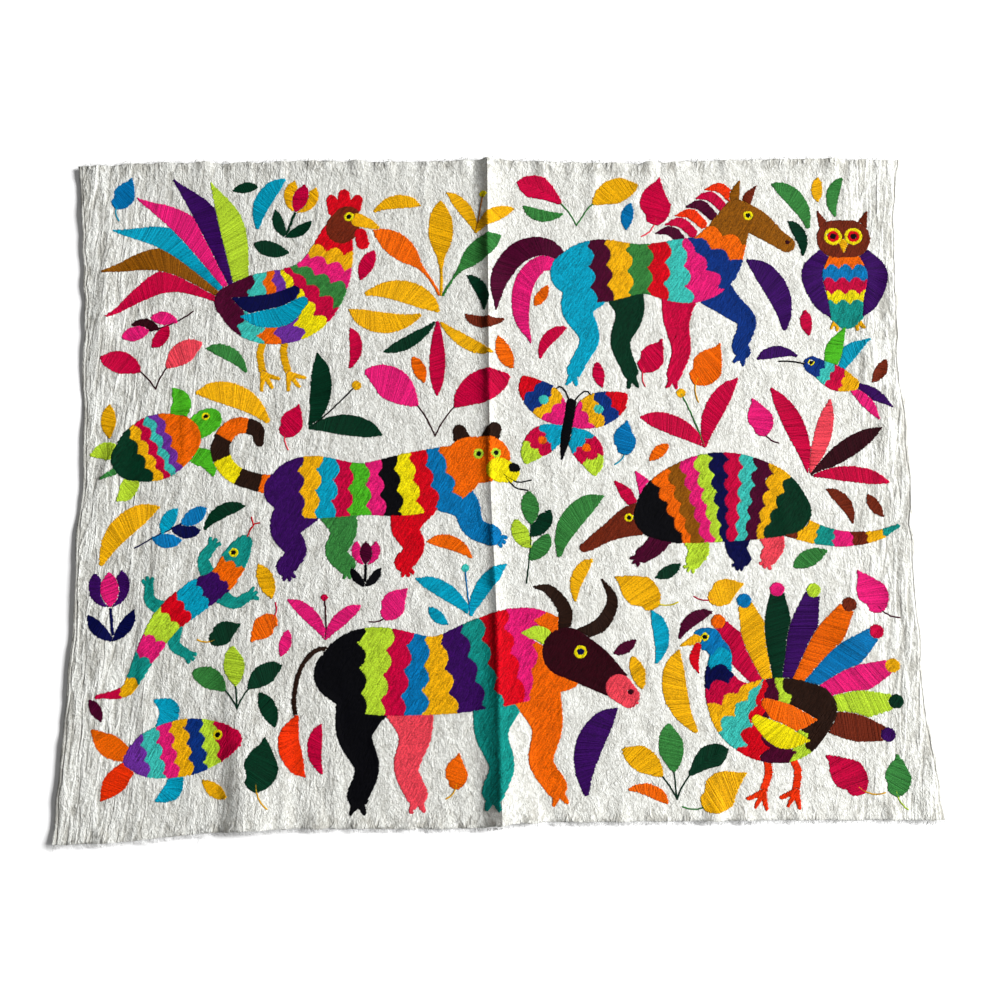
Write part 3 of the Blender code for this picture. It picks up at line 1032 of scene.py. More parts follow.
def chart_plants(chart, seed=11):
    """The beds, then each smaller plant wherever it finds room."""
    rng = np.random.default_rng(seed)
    for bed in BEDS:
        for part in bed.make(rng, bed.size, GARDEN[bed.colours]):
            chart.add(placed(part, bed.x, bed.y, 1, bed.turn), PLANT_HATCH)
    for make, size, count, room in PLANTS:
        found = 0
        for _ in range(TRIES):
            x, y = rng.uniform(*PLANT_X), rng.uniform(*PLANT_Y)
            turn = rng.normal(0, PLANT_TURN) + (180 if rng.random() < HANGING_SHARE else 0)
            colours = GARDEN[int(rng.integers(len(GARDEN)))]
            scale = rng.uniform(*PLANT_SCALE)
            parts = [placed(part, x, y, 1, turn) for part in make(rng, size * scale, colours)]
            if all(chart.is_free(smooth_path(part.points), room) for part in parts):
                for part in parts:
                    chart.add(part, PLANT_HATCH)
                found += 1
                if found == count:
                    break


def parted_at_crest(starts, ends):
    """The same stitches, with those that cross the crest of the storage crease parted there."""
    left = starts[:, 0] - along(CREASE_LINE, starts[:, 1] * MM) / MM
    right = ends[:, 0] - along(CREASE_LINE, ends[:, 1] * MM) / MM
    crossing = left * right < 0
    run = (ends - starts)[crossing]
    share = (left / (left - right + (left == right)))[crossing, None]
    crest = starts[crossing] + run * share
    past = CREST_LAP * run / np.maximum(np.linalg.norm(run, axis=1, keepdims=True), 1e-6)
    first_ends = ends.copy()
    first_ends[crossing] = crest + past
    return np.vstack([starts, crest - past]), np.vstack([first_ends, ends[crossing]])


class Threadwork:
    """The stitches laid so far, by thread colour, in millimetres and radians."""

    def __init__(self, seed=17):
        self.rng = np.random.default_rng(seed)
        self.rows = defaultdict(list)

    def lay(self, colour, starts, ends, breadth):
        """Stitches from starts to ends, each a little uneven, as handwork is."""
        if len(starts) == 0:
            return
        starts = starts + self.rng.normal(0, UNEVEN_ENDS, starts.shape)
        ends = ends + self.rng.normal(0, UNEVEN_ENDS, ends.shape)
        starts, ends = parted_at_crest(starts, ends)
        count = len(starts)
        run = ends - starts
        size = np.stack(
            [
                np.hypot(run[:, 0], run[:, 1]),
                breadth * self.rng.uniform(*BREADTH_RANGE, count),
                LOFT * np.clip(self.rng.normal(1, UNEVEN_LOFT, count), *LOFT_RANGE),
            ],
            1,
        )
        middle = (starts + ends) / 2
        heading = np.arctan2(run[:, 1], run[:, 0])
        tone = np.clip(self.rng.normal(0.5, UNEVEN_TONE, count), 0, 1)
        self.rows[colour].append(np.column_stack([middle, heading, size, tone]))

    def table(self, colour):
        """Rows of x, y, heading, length, breadth, loft and tone."""
        return np.vstack(self.rows[colour])


def fill_runs(cells, hatch):
    """Rows of stitching side by side along the hatch: each run's row, start and end."""
    cos, sin = math.cos(math.radians(hatch)), math.sin(math.radians(hatch))
    ahead = cells @ (cos, sin)
    row = np.floor(cells @ (-sin, cos) / FILL_PITCH).astype(int)
    order = np.lexsort((ahead, row))
    row, ahead = row[order], ahead[order]
    breaks = np.nonzero((np.diff(row) != 0) | (np.diff(ahead) > 2 * CELL))[0] + 1
    first = np.concatenate([[0], breaks])
    last = np.concatenate([breaks, [len(row)]]) - 1
    return row[first], ahead[first] - CELL / 2, ahead[last] + CELL / 2


def stitch_fill(work, area, cells):
    """Cuts each row into short stitches, so that their ends don't line up from row to row."""
    angle = math.radians(area.hatch)
    forward = np.array([math.cos(angle), math.sin(angle)])
    sideways = np.array([-math.sin(angle), math.cos(angle)])
    starts, ends = [], []
    for row, low, high in zip(*fill_runs(cells, area.hatch)):
        if high - low < SHORTEST:
            continue
        count = max(1, round((high - low) / FILL_LENGTH))
        cuts = np.linspace(low, high, count + 1)
        cuts[1:-1] += work.rng.uniform(-UNEVEN_CUTS, UNEVEN_CUTS, count - 1) * FILL_LENGTH
        base = sideways * (row + 0.5) * FILL_PITCH
        starts.extend(base + forward * (cut - LAP) for cut in cuts[:-1])
        ends.extend(base + forward * (cut + LAP) for cut in cuts[1:])
    work.lay(area.colours[0], np.array(starts).reshape(-1, 2), np.array(ends).reshape(-1, 2), FILL_BREADTH)


def stations(path, pitch):
    """Steps along a path and over its round ends, closer where a broad part bends: point, heading,
    half width and share."""
    ahead = directions(path)
    first, last = path[0, 2], path[-1, 2]
    points = np.vstack([path[0, :2] - ahead[0] * first, path[:, :2], path[-1, :2] + ahead[-1] * last])
    headings = np.unwrap(np.arctan2(ahead[:, 1], ahead[:, 0]))
    placing = lengths(path)
    places = np.concatenate([[-first], placing, [placing[-1] + last]])
    bend = np.abs(np.diff(headings)) / np.diff(placing)
    crowding = 1 + np.minimum(bend * (path[1:, 2] + path[:-1, 2]) / 2, MOST_CROWDING)
    crowding = np.concatenate([[1], crowding, [1]])
    stitches = np.concatenate([[0], np.cumsum(crowding * np.diff(places))]) / pitch
    steps = np.interp(np.arange(0.5, stitches[-1]), stitches, places)
    spots = np.stack([np.interp(steps, places, points[:, 0]), np.interp(steps, places, points[:, 1])], 1)
    heading = np.interp(steps, placing, headings)
    return spots, heading, np.interp(steps, placing, path[:, 2]), np.clip(steps / placing[-1], 0, 1)


def stitch_across(work, chart, label, area, turns, both_sides):
    """Long stitches from the middle of a leaf to its edge, or from edge to edge."""
    spots, heading, half_width, share = stations(area.path, SATIN_PITCH)
    slanted = half_width / abs(math.sin(turns[0])) + PROBE_MARGIN
    reach = slanted.max()
    steps = np.arange(-reach if both_sides else 0, reach, CELL)
    near = np.abs(steps)[None, :] <= slanted[:, None]
    colour = np.minimum((share * len(area.colours)).astype(int), len(area.colours) - 1)
    for turn in turns:
        run = np.stack([np.cos(heading + turn), np.sin(heading + turn)], 1)
        points = spots[:, None, :] + run[:, None, :] * steps[None, :, None]
        owned = (chart.owners_at(points) == label) & near
        change = np.diff(np.pad(owned, ((0, 0), (1, 1))).astype(int), axis=1)
        row, low = np.nonzero(change == 1)
        high = np.nonzero(change == -1)[1]
        long_enough = (high - low) * CELL >= SHORTEST
        row, low, high = row[long_enough], low[long_enough], high[long_enough]
        starts = spots[row] + run[row] * (steps[low] - CELL / 2 - LAP / 2)[:, None]
        ends = spots[row] + run[row] * (steps[high - 1] + CELL / 2 + LAP / 2)[:, None]
        for number, name in enumerate(area.colours):
            chosen = colour[row] == number
            work.lay(name, starts[chosen], ends[chosen], SATIN_BREADTH)


def stitch_line(work, area):
    """Stitches end to end along a stem."""
    path = area.path
    placing = lengths(path)
    count = max(1, round(placing[-1] / LINE_STITCH))
    steps = np.linspace(0, placing[-1], count + 1)
    points = np.stack([np.interp(steps, placing, path[:, 0]), np.interp(steps, placing, path[:, 1])], 1)
    ahead = np.diff(points, axis=0)
    ahead /= np.maximum(np.linalg.norm(ahead, axis=1, keepdims=True), 1e-6)
    work.lay(area.colours[0], points[:-1] - ahead * LAP, points[1:] + ahead * LAP, 2.2 * path[0, 2])


def stitch_chart(chart):
    """Every area in its own kind of stitch."""
    work = Threadwork()
    rows, columns = np.nonzero(chart.owner)
    owner = chart.owner[rows, columns]
    middles = (np.stack([columns, rows], 1) + 0.5) * CELL - CENTRE
    order = np.argsort(owner, kind="stable")
    owner, middles = owner[order], middles[order]
    first = np.searchsorted(owner, np.arange(len(chart.areas) + 1))
    for label, area in enumerate(chart.areas[1:], start=1):
        cells = middles[first[label] : first[label + 1]]
        if len(cells) == 0:
            continue
        if area.kind == "fill":
            stitch_fill(work, area, cells)
        elif area.kind == "satin":
            slant = math.radians(90 - SATIN_SLANT if label % 2 else 90 + SATIN_SLANT)
            stitch_across(work, chart, label, area, (slant,), True)
        elif area.kind == "veined":
            slant = math.radians(VEIN_ANGLE)
            stitch_across(work, chart, label, area, (slant, -slant), False)
        else:
            stitch_line(work, area)
    return work


# Loose threads at the torn edges, in millimetres and degrees
WHISKERS_EACH_EDGE = 620
WHISKER_LENGTH = (2.0, 5.5)
WHISKER_BREADTH = 0.36
WHISKER_LEAN = 26.0
WHISKER_SHOWING = 0.22
STRAYS_EACH_EDGE = 7
STRAY_LENGTH = (8.0, 15.0)


def whisker_table(seed=23):
    """Warp threads that stand out of the torn edges, and a few longer ones that lie along them."""
    rng = np.random.default_rng(seed)
    rows = []
    for edge, outward in ((TOP_EDGE, 90.0), (BOTTOM_EDGE, -90.0)):
        for count, span, lean in (
            (WHISKERS_EACH_EDGE, WHISKER_LENGTH, WHISKER_LEAN),
            (STRAYS_EACH_EDGE, STRAY_LENGTH, 3 * WHISKER_LEAN),
        ):
            x = rng.uniform(edge[0][0], edge[-1][0], count)
            length = rng.uniform(*span, count)
            heading = np.radians(outward + rng.normal(0, lean, count))
            side = np.sign(np.sin(heading)) * np.sign(outward)
            heading = np.where(side < 0, -heading, heading)
            out = WHISKER_SHOWING * length * np.sin(heading)
            y = along(edge, x) / MM + out
            size = [length, np.full(count, WHISKER_BREADTH), np.full(count, WHISKER_BREADTH)]
            rows.append(np.column_stack([x / MM, y, heading, *size, rng.uniform(0, 1, count)]))
    return np.vstack(rows)


class Value:
    """The value of a node's output. Sums on it add Math nodes."""

    def __init__(self, graph, socket):
        self.graph = graph
        self.socket = socket

    def math(self, operation, *terms):
        return self.graph.add("ShaderNodeMath", {"operation": operation}, dict(enumerate(terms)))

    def __add__(self, other):
        return self.math("ADD", self, other)

    def __sub__(self, other):
        return self.math("SUBTRACT", self, other)

    def __rsub__(self, other):
        return self.math("SUBTRACT", other, self)

    def __mul__(self, other):
        return self.math("MULTIPLY", self, other)

    def __pow__(self, other):
        return self.math("POWER", self, other)

    __radd__ = __add__
    __rmul__ = __mul__

    def sine(self):
        return self.math("SINE", self)

    def size(self):
        return self.math("ABSOLUTE", self)

    def is_over(self, other):
        return self.math("GREATER_THAN", self, other)


class Graph:
    """Adds nodes to one tree."""

    def __init__(self, tree):
        self.tree = tree

    def add(self, kind, settings=None, inputs=None, output=0):
        """A node of a kind: its settings first, then the values or links of its sockets."""
        node = self.tree.nodes.new(kind)
        for name, value in (settings or {}).items():
            setattr(node, name, value)
        for name, value in (inputs or {}).items():
            if not isinstance(value, (Value, list)):
                node.inputs[name].default_value = value
                continue
            for link in value if isinstance(value, list) else [value]:
                self.tree.links.new(link.socket, node.inputs[name])
        return Value(self, node.outputs[output])

    def blend(self, factor, low, high):
        """A colour between two."""
        return self.add("ShaderNodeMix", {"data_type": "RGBA"}, {0: factor, 6: low, 7: high}, output=2)

    def spread(self, value, low, high):
        """A value's range from low to high, stretched to 0 to 1."""
        return self.add("ShaderNodeMapRange", {}, {"Value": value, "From Min": low, "From Max": high})

    def parts(self, vector):
        """The X and Y of a vector."""
        node = self.add("ShaderNodeSeparateXYZ", {}, {0: vector}).socket.node
        return Value(self, node.outputs[0]), Value(self, node.outputs[1])


# Strands. A section has three sides, with one corner on top, and this radius makes it one unit broad.
STEPS_IN_SHORT = 4
STEPS_IN_LONG = 7
LONG_FROM = 0.011
STRAND_END = 0.82
STRAND_ARCH = 0.25
SECTION_SIDES = 3
SECTION_RADIUS = 1 / math.sqrt(3)


def make_strand_tree():
    """Lays one strand on each point: arched and tapered, and sized, turned and toned by the point."""
    tree = bpy.data.node_groups.new("strands", "GeometryNodeTree")
    sockets = (
        ("Points", "NodeSocketGeometry", None),
        ("Steps in Short", "NodeSocketInt", STEPS_IN_SHORT),
        ("Steps in Long", "NodeSocketInt", STEPS_IN_LONG),
        ("Long From", "NodeSocketFloat", LONG_FROM),
        ("End Share", "NodeSocketFloat", STRAND_END),
        ("Arch", "NodeSocketFloat", STRAND_ARCH),
        ("Thread", "NodeSocketMaterial", None),
    )
    for name, kind, value in sockets:
        socket = tree.interface.new_socket(name, in_out="INPUT", socket_type=kind)
        if value is not None:
            socket.default_value = value
    tree.interface.new_socket("Strands", in_out="OUTPUT", socket_type="NodeSocketGeometry")
    graph = Graph(tree)
    entry = tree.nodes.new("NodeGroupInput")
    given = {socket.name: Value(graph, socket) for socket in entry.outputs if socket.name}

    def read(name, kind):
        return graph.add("GeometryNodeInputNamedAttribute", {"data_type": kind}, {"Name": name})

    ring = {"Resolution": SECTION_SIDES, "Radius": SECTION_RADIUS}
    section = graph.add("GeometryNodeCurvePrimitiveCircle", {}, ring)
    upright = {"Geometry": section, "Rotation": (0, 0, -math.pi / 2)}
    section = graph.add("GeometryNodeTransform", {}, upright)
    place, _ = graph.parts(graph.add("GeometryNodeInputPosition"))
    fullness = 1 - (place * 2).size() ** 4
    thickness = given["End Share"] + (1 - given["End Share"]) * fullness
    lift = graph.add("ShaderNodeCombineXYZ", {}, {"Z": given["Arch"] * fullness})
    turn = graph.add("ShaderNodeCombineXYZ", {}, {"Z": read("heading", "FLOAT")})
    size = read("size", "FLOAT_VECTOR")
    is_long = graph.parts(size)[0].is_over(given["Long From"])
    strands = []
    for steps, chosen in ((given["Steps in Short"], 1 - is_long), (given["Steps in Long"], is_long)):
        core = graph.add("GeometryNodeCurvePrimitiveLine", {}, {"Start": (-0.5, 0, 0), "End": (0.5, 0, 0)})
        core = graph.add("GeometryNodeResampleCurve", {}, {"Curve": core, "Count": steps})
        share = graph.add("GeometryNodeSplineParameter")
        eased = (share * math.pi - math.pi / 2).sine() * 0.5
        crowded = graph.add("ShaderNodeCombineXYZ", {}, {"X": eased})
        core = graph.add("GeometryNodeSetPosition", {}, {"Geometry": core, "Position": crowded})
        tube = {"Curve": core, "Profile Curve": section, "Fill Caps": True, "Scale": thickness}
        strand = graph.add("GeometryNodeCurveToMesh", {}, tube)
        strand = graph.add("GeometryNodeSetPosition", {}, {"Geometry": strand, "Offset": lift})
        strand = graph.add(
            "GeometryNodeStoreNamedAttribute",
            {"data_type": "FLOAT_VECTOR", "domain": "POINT"},
            {"Geometry": strand, "Name": "spot", "Value": graph.add("GeometryNodeInputPosition")},
        )
        placing = {"Points": given["Points"], "Selection": chosen, "Instance": strand, "Rotation": turn}
        strands.append(graph.add("GeometryNodeInstanceOnPoints", {}, {**placing, "Scale": size}))
    laid = graph.add("GeometryNodeJoinGeometry", {}, {"Geometry": strands})
    laid = graph.add("GeometryNodeRealizeInstances", {}, {"Geometry": laid})
    spot = read("spot", "FLOAT_VECTOR")
    mapped = graph.add("ShaderNodeVectorMath", {"operation": "MULTIPLY"}, {0: spot, 1: size})
    laid = graph.add(
        "GeometryNodeStoreNamedAttribute",
        {"data_type": "FLOAT2", "domain": "CORNER"},
        {"Geometry": laid, "Name": "thread", "Value": mapped},
    )
    laid = graph.add("GeometryNodeSetShadeSmooth", {}, {"Geometry": laid})
    laid = graph.add("GeometryNodeSetMaterial", {}, {"Geometry": laid, "Material": given["Thread"]})
    leave = tree.nodes.new("NodeGroupOutput")
    tree.links.new(laid.socket, leave.inputs[0])
    return tree


def baked(piece):
    """Turns a piece's evaluated shape into its plain mesh and drops its modifiers."""
    depsgraph = bpy.context.evaluated_depsgraph_get()
    mesh = bpy.data.meshes.new_from_object(piece.evaluated_get(depsgraph))
    mesh.name = piece.name
    piece.modifiers.clear()
    piece.data = mesh
    return piece


def read_points(mesh):
    """A mesh's points, as rows of x, y and z."""
    flat = np.zeros(len(mesh.vertices) * 3)
    mesh.vertices.foreach_get("co", flat)
    return flat.reshape(-1, 3)


def write_points(mesh, points):
    """Moves a mesh's points."""
    mesh.vertices.foreach_set("co", points.astype(np.float32).ravel())
    mesh.update()


def settle(mesh, stitched):
    """Moves strands that stand on a flat plane onto the sheet, standing out along its normals."""
    x, y, lift = read_points(mesh).T
    slope_x = height(x + SLOPE_STEP, y, stitched) - height(x - SLOPE_STEP, y, stitched)
    slope_y = height(x, y + SLOPE_STEP, stitched) - height(x, y - SLOPE_STEP, stitched)
    normal = np.stack([-slope_x, -slope_y, np.full(x.shape, 2 * SLOPE_STEP)], 1)
    normal /= np.linalg.norm(normal, axis=1, keepdims=True)
    base = np.stack([x, y, height(x, y, stitched)], 1)
    clear = CLEARANCE + CREST_CLEARANCE * fading(np.abs(x - along(CREASE_LINE, y)), CREST_REACH)
    write_points(mesh, base + normal * (lift + SHEET_THICKNESS + clear)[:, None])


def sew(name, table, tree, material, stitched):
    """One piece of plain mesh strands from a table of stitches in millimetres."""
    mesh = bpy.data.meshes.new(name)
    mesh.vertices.add(len(table))
    places = np.column_stack([table[:, :2] * MM, np.zeros(len(table))])
    write_points(mesh, places)
    for label, kind, field, values in (
        ("heading", "FLOAT", "value", table[:, 2]),
        ("size", "FLOAT_VECTOR", "vector", table[:, 3:6] * MM),
        ("tone", "FLOAT", "value", table[:, 6]),
    ):
        attribute = mesh.attributes.new(label, kind, "POINT")
        attribute.data.foreach_set(field, values.astype(np.float32).ravel())
    piece = bpy.data.objects.new(name, mesh)
    bpy.context.scene.collection.objects.link(piece)
    modifier = piece.modifiers.new("strands", "NODES")
    modifier.node_group = tree
    sockets = {socket.name: socket.identifier for socket in tree.interface.items_tree}
    modifier[sockets["Thread"]] = material
    baked(piece)
    settle(piece.data, stitched)
    return piece


def linear(screen):
    """A screen colour from 0 to 255 as the light it stands for."""
    shares = np.array(screen) / 255
    light = np.where(shares <= 0.04045, shares / 12.92, ((shares + 0.055) / 1.055) ** 2.4)
    return (*light.tolist(), 1.0)


def new_material(name, roughness, sheen, specular):
    """A material, its graph and its shader node, with what is the same all over set on the shader."""
    material = bpy.data.materials.new(name)
    material.use_nodes = True
    shader = material.node_tree.nodes["Principled BSDF"]
    shader.inputs["Roughness"].default_value = roughness
    shader.inputs["Sheen Weight"].default_value = sheen
    shader.inputs["Specular IOR Level"].default_value = specular
    return material, Graph(material.node_tree), shader


def plug(graph, value, shader, socket):
    """Links a value to a socket of the shader."""
    graph.tree.links.new(value.socket, shader.inputs[socket])


# Thread finish: shares of the thread's colour, and waves or bumps to the metre
THREAD_DEEP = (0.28, 0.28, 0.28, 1)
THREAD_BRIGHT = (1.18, 1.18, 1.18, 1)
FILAMENTS_PER_METRE = 3200.0
TWIST_PER_METRE = 900.0
FUZZ_PER_METRE = 900.0
FUZZ_RANGE = (0.36, 0.64)
STITCH_SHARE = 0.45
FUZZ_SHARE = 0.55
TWIST_SHARE = 0.05
THREAD_RELIEF = 0.0001


def thread_material(name, screen):
    """Soft stranded cotton, twisted, whose colour varies from stitch to stitch and in a fine grain."""
    material, graph, shader = new_material(name, roughness=0.6, sheen=0.0, specular=0.06)
    tone = graph.add("ShaderNodeAttribute", {"attribute_name": "tone"}, output=2)
    body = np.array(linear(screen))
    deep, bright = body * THREAD_DEEP, np.minimum(body * THREAD_BRIGHT, 1)
    place = graph.add("ShaderNodeUVMap", {"uv_map": "thread"})
    ahead, across = graph.parts(place)
    twist = ((across * FILAMENTS_PER_METRE + ahead * TWIST_PER_METRE) * (2 * math.pi)).sine()
    spot = graph.add("ShaderNodeTexCoord", {}, output=3)
    fuzz = graph.add("ShaderNodeTexNoise", {}, {"Vector": spot, "Scale": FUZZ_PER_METRE, "Detail": 2.0})
    worn = tone * STITCH_SHARE + graph.spread(fuzz, *FUZZ_RANGE) * FUZZ_SHARE + twist * TWIST_SHARE
    plug(graph, graph.blend(worn, tuple(deep), tuple(bright)), shader, "Base Color")
    relief = {"Strength": 0.35, "Distance": THREAD_RELIEF, "Height": twist + fuzz}
    plug(graph, graph.add("ShaderNodeBump", {}, relief), shader, "Normal")
    return material


# Cotton finish, in metres. Streaks lean by degrees from the upright. The cotton's shares of pale are those
# of its crinkles' painted shade (darker in their hollows, paler on their crests), stain, slubs and weave.
Streak = namedtuple("Streak", "lean breadth length detail")
STEEP_CRINKLES = Streak(-20, 0.0021, 0.0042, 3.0)
SHALLOW_CRINKLES = Streak(44, 0.0020, 0.0036, 3.0)
BROAD_CRINKLES = Streak(-6, 0.008, 0.013, 1.0)
SIDE_STREAKS = Streak(4, 0.0062, 0.044, 1.0)
TEAR_STREAKS = Streak(8, 0.0050, 0.014, 1.0)
SLUBS = Streak(0, 0.0012, 0.03, 2.0)
WEAVE_PITCH = 0.00062
WEAVE_RELIEF = 0.00012
CRINKLE_RELIEF = 0.0034
COTTON_SHARES = (0.75, 0.15, 0.12, 0.04)
HOLLOW_TO_CREST = (0.50, 0.82)
SELVEDGE_WAVER = 0.005
SELVEDGE_LINE = (0.0004, 0.0013)
SIDE_BAND = (0.02, 0.11)
TEAR_BAND = (0.003, 0.017)
TEAR_PATCHES = (0.46, 0.58)
WEST_OF_CREASE = (-0.06, -0.26)
RUMPLED_WEST = (0.15, -0.20)


def streaks(graph, place, streak):
    """Noise stretched into streaks that lean from the upright."""
    lean = (0, 0, math.radians(streak.lean))
    scale = (1 / streak.breadth, 1 / streak.length, 1)
    turned = graph.add("ShaderNodeMapping", {}, {"Vector": place, "Rotation": lean})
    stretched = graph.add("ShaderNodeMapping", {}, {"Vector": turned, "Scale": scale})
    look = {"Scale": 1.0, "Detail": streak.detail, "Roughness": 0.6, "Distortion": 0.9}
    return graph.add("ShaderNodeTexNoise", {}, {"Vector": stretched, **look})


def cotton_material():
    """Unbleached plain weave with slubs, fine crinkles that lean both ways, and a woven selvedge; the
    crinkles' shade is also painted into the colour.
    """
    material, graph, shader = new_material("cotton", roughness=0.9, sheen=0.0, specular=0.2)
    place = graph.add("ShaderNodeTexCoord", {}, output=3)
    cut = graph.add("ShaderNodeUVMap", {"uv_map": "cut"})
    across, up = graph.parts(cut)
    warp = (across * (math.pi / WEAVE_PITCH)).sine()
    weft = (up * (math.pi / WEAVE_PITCH)).sine()
    weave = warp * weft
    steep = streaks(graph, place, STEEP_CRINKLES)
    shallow = streaks(graph, place, SHALLOW_CRINKLES)
    broad = streaks(graph, place, BROAD_CRINKLES)
    upright = streaks(graph, place, SIDE_STREAKS)
    strokes = streaks(graph, place, TEAR_STREAKS)
    patches = graph.add("ShaderNodeTexNoise", {}, {"Vector": place, "Scale": 42.0, "Detail": 1.0})
    from_side = (0.5 - (across * (1 / CUT_SIZE[0]) - 0.5).size()) * CUT_SIZE[0]
    from_tear = (0.5 - (up * (1 / CUT_SIZE[1]) - 0.5).size()) * CUT_SIZE[1]
    east, _ = graph.parts(place)
    beside = 1 - graph.spread(from_side, *SIDE_BAND) * (1 - graph.spread(east, *WEST_OF_CREASE) * 0.5)
    # Patches near the torn edges, whose streaks are a bump and, through the crinkle colour below, painted
    # pucker shadows
    torn = (1 - graph.spread(from_tear, *TEAR_BAND)) * graph.spread(patches, *TEAR_PATCHES)
    crinkle = steep * 0.5 + shallow * 0.45 + broad * 0.4 + upright * beside + strokes * torn * 1.2
    waver = graph.add("ShaderNodeTexNoise", {}, {"Vector": place, "Scale": 26.0, "Detail": 2.0})
    beyond = (from_side + waver * SELVEDGE_WAVER - SELVEDGE).size()
    groove = 1 - graph.spread(beyond, *SELVEDGE_LINE)
    slub = streaks(graph, cut, SLUBS)
    stain = graph.add("ShaderNodeTexNoise", {}, {"Vector": place, "Scale": 5.0, "Detail": 3.0})
    # Painted shade: the cotton is darker in the hollows of its crinkles, side wrinkles and torn-edge
    # puckers, and paler on their crests
    lit = graph.spread(crinkle - beside * 0.5 - torn * 0.7, *HOLLOW_TO_CREST)
    by_painted_crinkle_shade, by_stain, by_slub, by_weave = COTTON_SHARES
    shade = lit * by_painted_crinkle_shade + stain * by_stain + slub * by_slub + weave * by_weave
    colour = graph.blend(shade, linear(COTTON_PAINTED_SHADE), linear(COTTON))
    # Painted shade along the selvedge groove
    colour = graph.blend(groove * 0.45, colour, linear(SELVEDGE_PAINTED_SHADE))
    plug(graph, colour, shader, "Base Color")
    yarns = {"Strength": 0.3, "Distance": WEAVE_RELIEF, "Height": weave + slub}
    fine = graph.add("ShaderNodeBump", {}, yarns)
    rumple = (crinkle - groove * 0.3) * (graph.spread(east, *RUMPLED_WEST) * 0.6 + 0.85)
    folds = {"Strength": 1.0, "Distance": CRINKLE_RELIEF, "Height": rumple, "Normal": fine}
    plug(graph, graph.add("ShaderNodeBump", {}, folds), shader, "Normal")
    return material


def make_sheet(stitched):
    """The cotton panel: a fine grid moved to where the cloth lies, with a thin wall."""
    grid = bmesh.new()
    bmesh.ops.create_grid(grid, x_segments=2 * COLUMNS_EACH_SIDE, y_segments=ROWS, size=1.0)
    mesh = bpy.data.meshes.new("cotton_sheet")
    grid.to_mesh(mesh)
    grid.free()
    spots = read_points(mesh)
    across = np.sign(spots[:, 0]) * np.abs(spots[:, 0]) ** COLUMN_GRADING
    share = (spots[:, 1] + 1) / 2
    up = share - ROW_CROWDING * np.sin(2 * np.pi * share) / (2 * np.pi)
    x, y = place_on_cloth(across, up)
    write_points(mesh, np.stack([x, y, height(x, y, stitched)], 1))
    corners = np.zeros(len(mesh.loops), np.int32)
    mesh.loops.foreach_get("vertex_index", corners)
    ends = np.zeros(2 * len(mesh.edges), np.int32)
    mesh.edges.foreach_get("vertices", ends)
    on_crest = (np.abs(spots[ends, 0]) < 0.5 / COLUMNS_EACH_SIDE).reshape(-1, 2).all(1)
    pressed = mesh.attributes.new("sharp_edge", "BOOLEAN", "EDGE")
    pressed.data.foreach_set("value", on_crest)
    cut = np.stack([(across + 1) / 2 * CUT_SIZE[0], up * CUT_SIZE[1]], 1)[corners]
    mesh.uv_layers.new(name="cut").data.foreach_set("uv", cut.astype(np.float32).ravel())
    mesh.polygons.foreach_set("use_smooth", np.ones(len(mesh.polygons), bool))
    mesh.materials.append(cotton_material())
    sheet = bpy.data.objects.new("cotton_sheet", mesh)
    bpy.context.scene.collection.objects.link(sheet)
    wall = sheet.modifiers.new("thickness", "SOLIDIFY")
    wall.thickness = SHEET_THICKNESS
    wall.offset = 1.0
    return baked(sheet)


def make_embroidery(work, tree, stitched):
    """One piece for each thread colour."""
    pieces = []
    for colour, screen in THREADS.items():
        if colour in work.rows:
            name = f"embroidery_{colour}"
            material = thread_material(f"thread_{colour}", screen)
            piece = sew(name, work.table(colour), tree, material, stitched)
            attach(piece, BODY)
            pieces.append(piece)
    return pieces


def make_whiskers(tree, stitched):
    """The loose threads of both torn edges, as one piece."""
    yarn = thread_material("cotton_yarn", COTTON)
    whiskers = sew("torn_edge_threads", whisker_table(), tree, yarn, stitched)
    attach(whiskers, BODY)
    return whiskers


# Camera: where it looks, from how high and how far, in metres and degrees
CAMERA_AIM = Vector((0.006, -0.0126, 0.0))
CAMERA_ELEVATION = 81.7
CAMERA_DISTANCE = 1.26
CAMERA_LENS = 42.48

# Light
KEY_HEADING = 8.0
KEY_ELEVATION = 38.0
KEY_DISTANCE = 6.0
KEY_SIZE = 2.0
KEY_POWER = 690.0
SKY_STRENGTH = 0.19
FLOOR_SIZE = 6.0
FLOOR_DROP = 0.0004
FLOOR_COLOUR = (0.98, 0.98, 0.98, 1.0)


def away(heading, elevation):
    """The unit direction at a heading, anticlockwise from +X, and an elevation, in degrees."""
    flat = math.cos(math.radians(elevation))
    h = math.radians(heading)
    return Vector((flat * math.cos(h), flat * math.sin(h), math.sin(math.radians(elevation))))


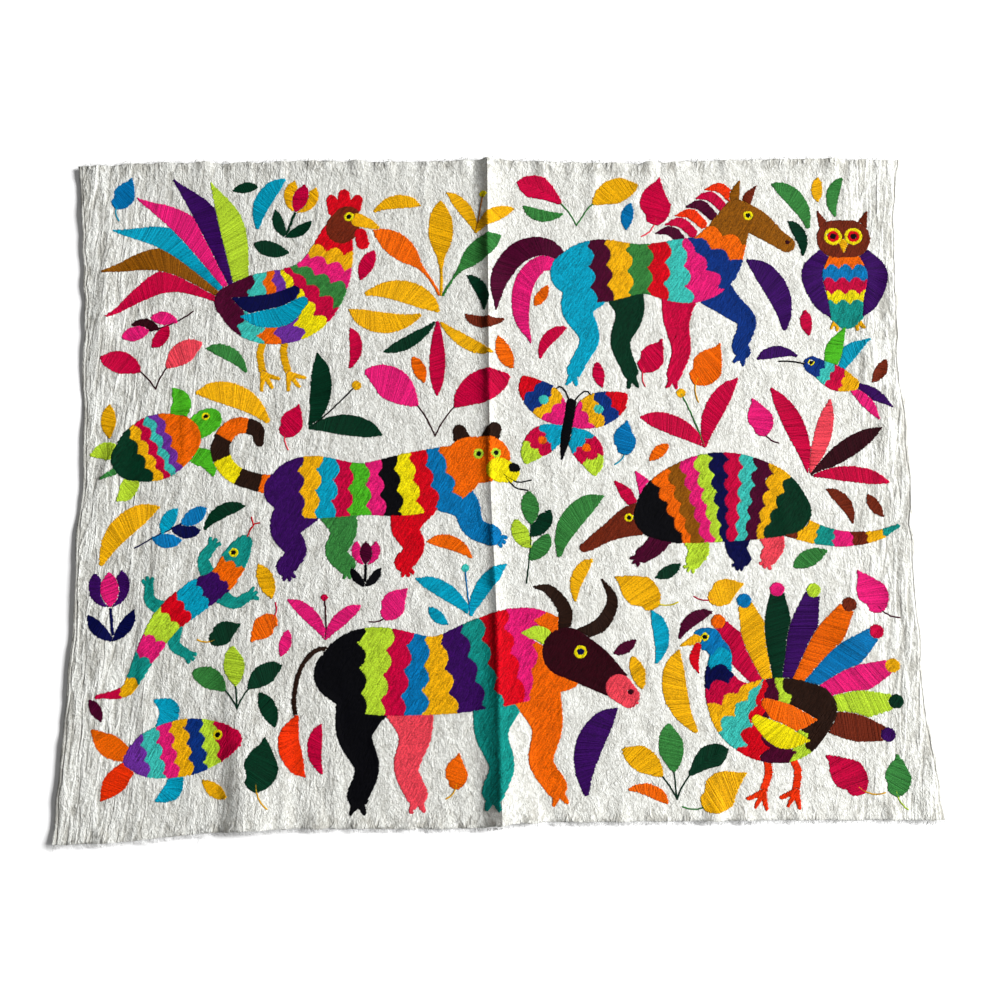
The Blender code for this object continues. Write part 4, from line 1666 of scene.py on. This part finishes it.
def make_stage():
    """A plain pale floor just under the cloth."""
    bpy.ops.mesh.primitive_plane_add(size=FLOOR_SIZE, location=(0, 0, -FLOOR_DROP))
    floor = bpy.context.object
    floor.name = "floor"
    material, _, shader = new_material("floor", roughness=0.85, sheen=0.0, specular=0.2)
    shader.inputs["Base Color"].default_value = FLOOR_COLOUR
    floor.data.materials.append(material)
    floor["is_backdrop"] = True


def make_camera():
    """A camera that looks down at the cloth from a little towards its lower edge."""
    camera = bpy.data.objects.new("camera", bpy.data.cameras.new("camera"))
    bpy.context.scene.collection.objects.link(camera)
    camera.data.lens = CAMERA_LENS
    back = away(-90.0, CAMERA_ELEVATION)
    camera.location = CAMERA_AIM + back * CAMERA_DISTANCE
    camera.rotation_euler = (-back).to_track_quat("-Z", "Y").to_euler()
    bpy.context.scene.camera = camera


def make_light():
    """A soft key light on the right, a little weaker at the cloth's far side, under a dim white sky."""
    key = bpy.data.objects.new("key", bpy.data.lights.new("key", "AREA"))
    bpy.context.scene.collection.objects.link(key)
    key.data.energy = KEY_POWER
    key.data.size = KEY_SIZE
    key.location = away(KEY_HEADING, KEY_ELEVATION) * KEY_DISTANCE
    key.rotation_euler = key.location.to_track_quat("Z", "Y").to_euler()
    world = bpy.data.worlds.new("sky")
    world.use_nodes = True
    sky = world.node_tree.nodes["Background"]
    sky.inputs["Color"].default_value = (1, 1, 1, 1)
    sky.inputs["Strength"].default_value = SKY_STRENGTH
    bpy.context.scene.world = world
    bpy.context.scene.view_settings.view_transform = "Standard"


def write_sizes():
    """Reads the solid's box and the dressed cloth's box; the pair is not kept."""
    boxes = [[list(corner) for corner in box] for box in (cad_box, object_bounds())]
    {"cad": boxes[0], "visual": boxes[1]}


def main():
    make_stage()
    make_camera()
    make_light()
    chart = Chart()
    chart_figures(chart)
    chart_plants(chart)
    stitched = cover_map(chart)
    work = stitch_chart(chart)
    tree = make_strand_tree()
    sheet = make_sheet(stitched)
    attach(sheet, BODY)
    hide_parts(NODE)
    pieces = make_embroidery(work, tree, stitched)
    whiskers = make_whiskers(tree, stitched)
    write_sizes()


main()
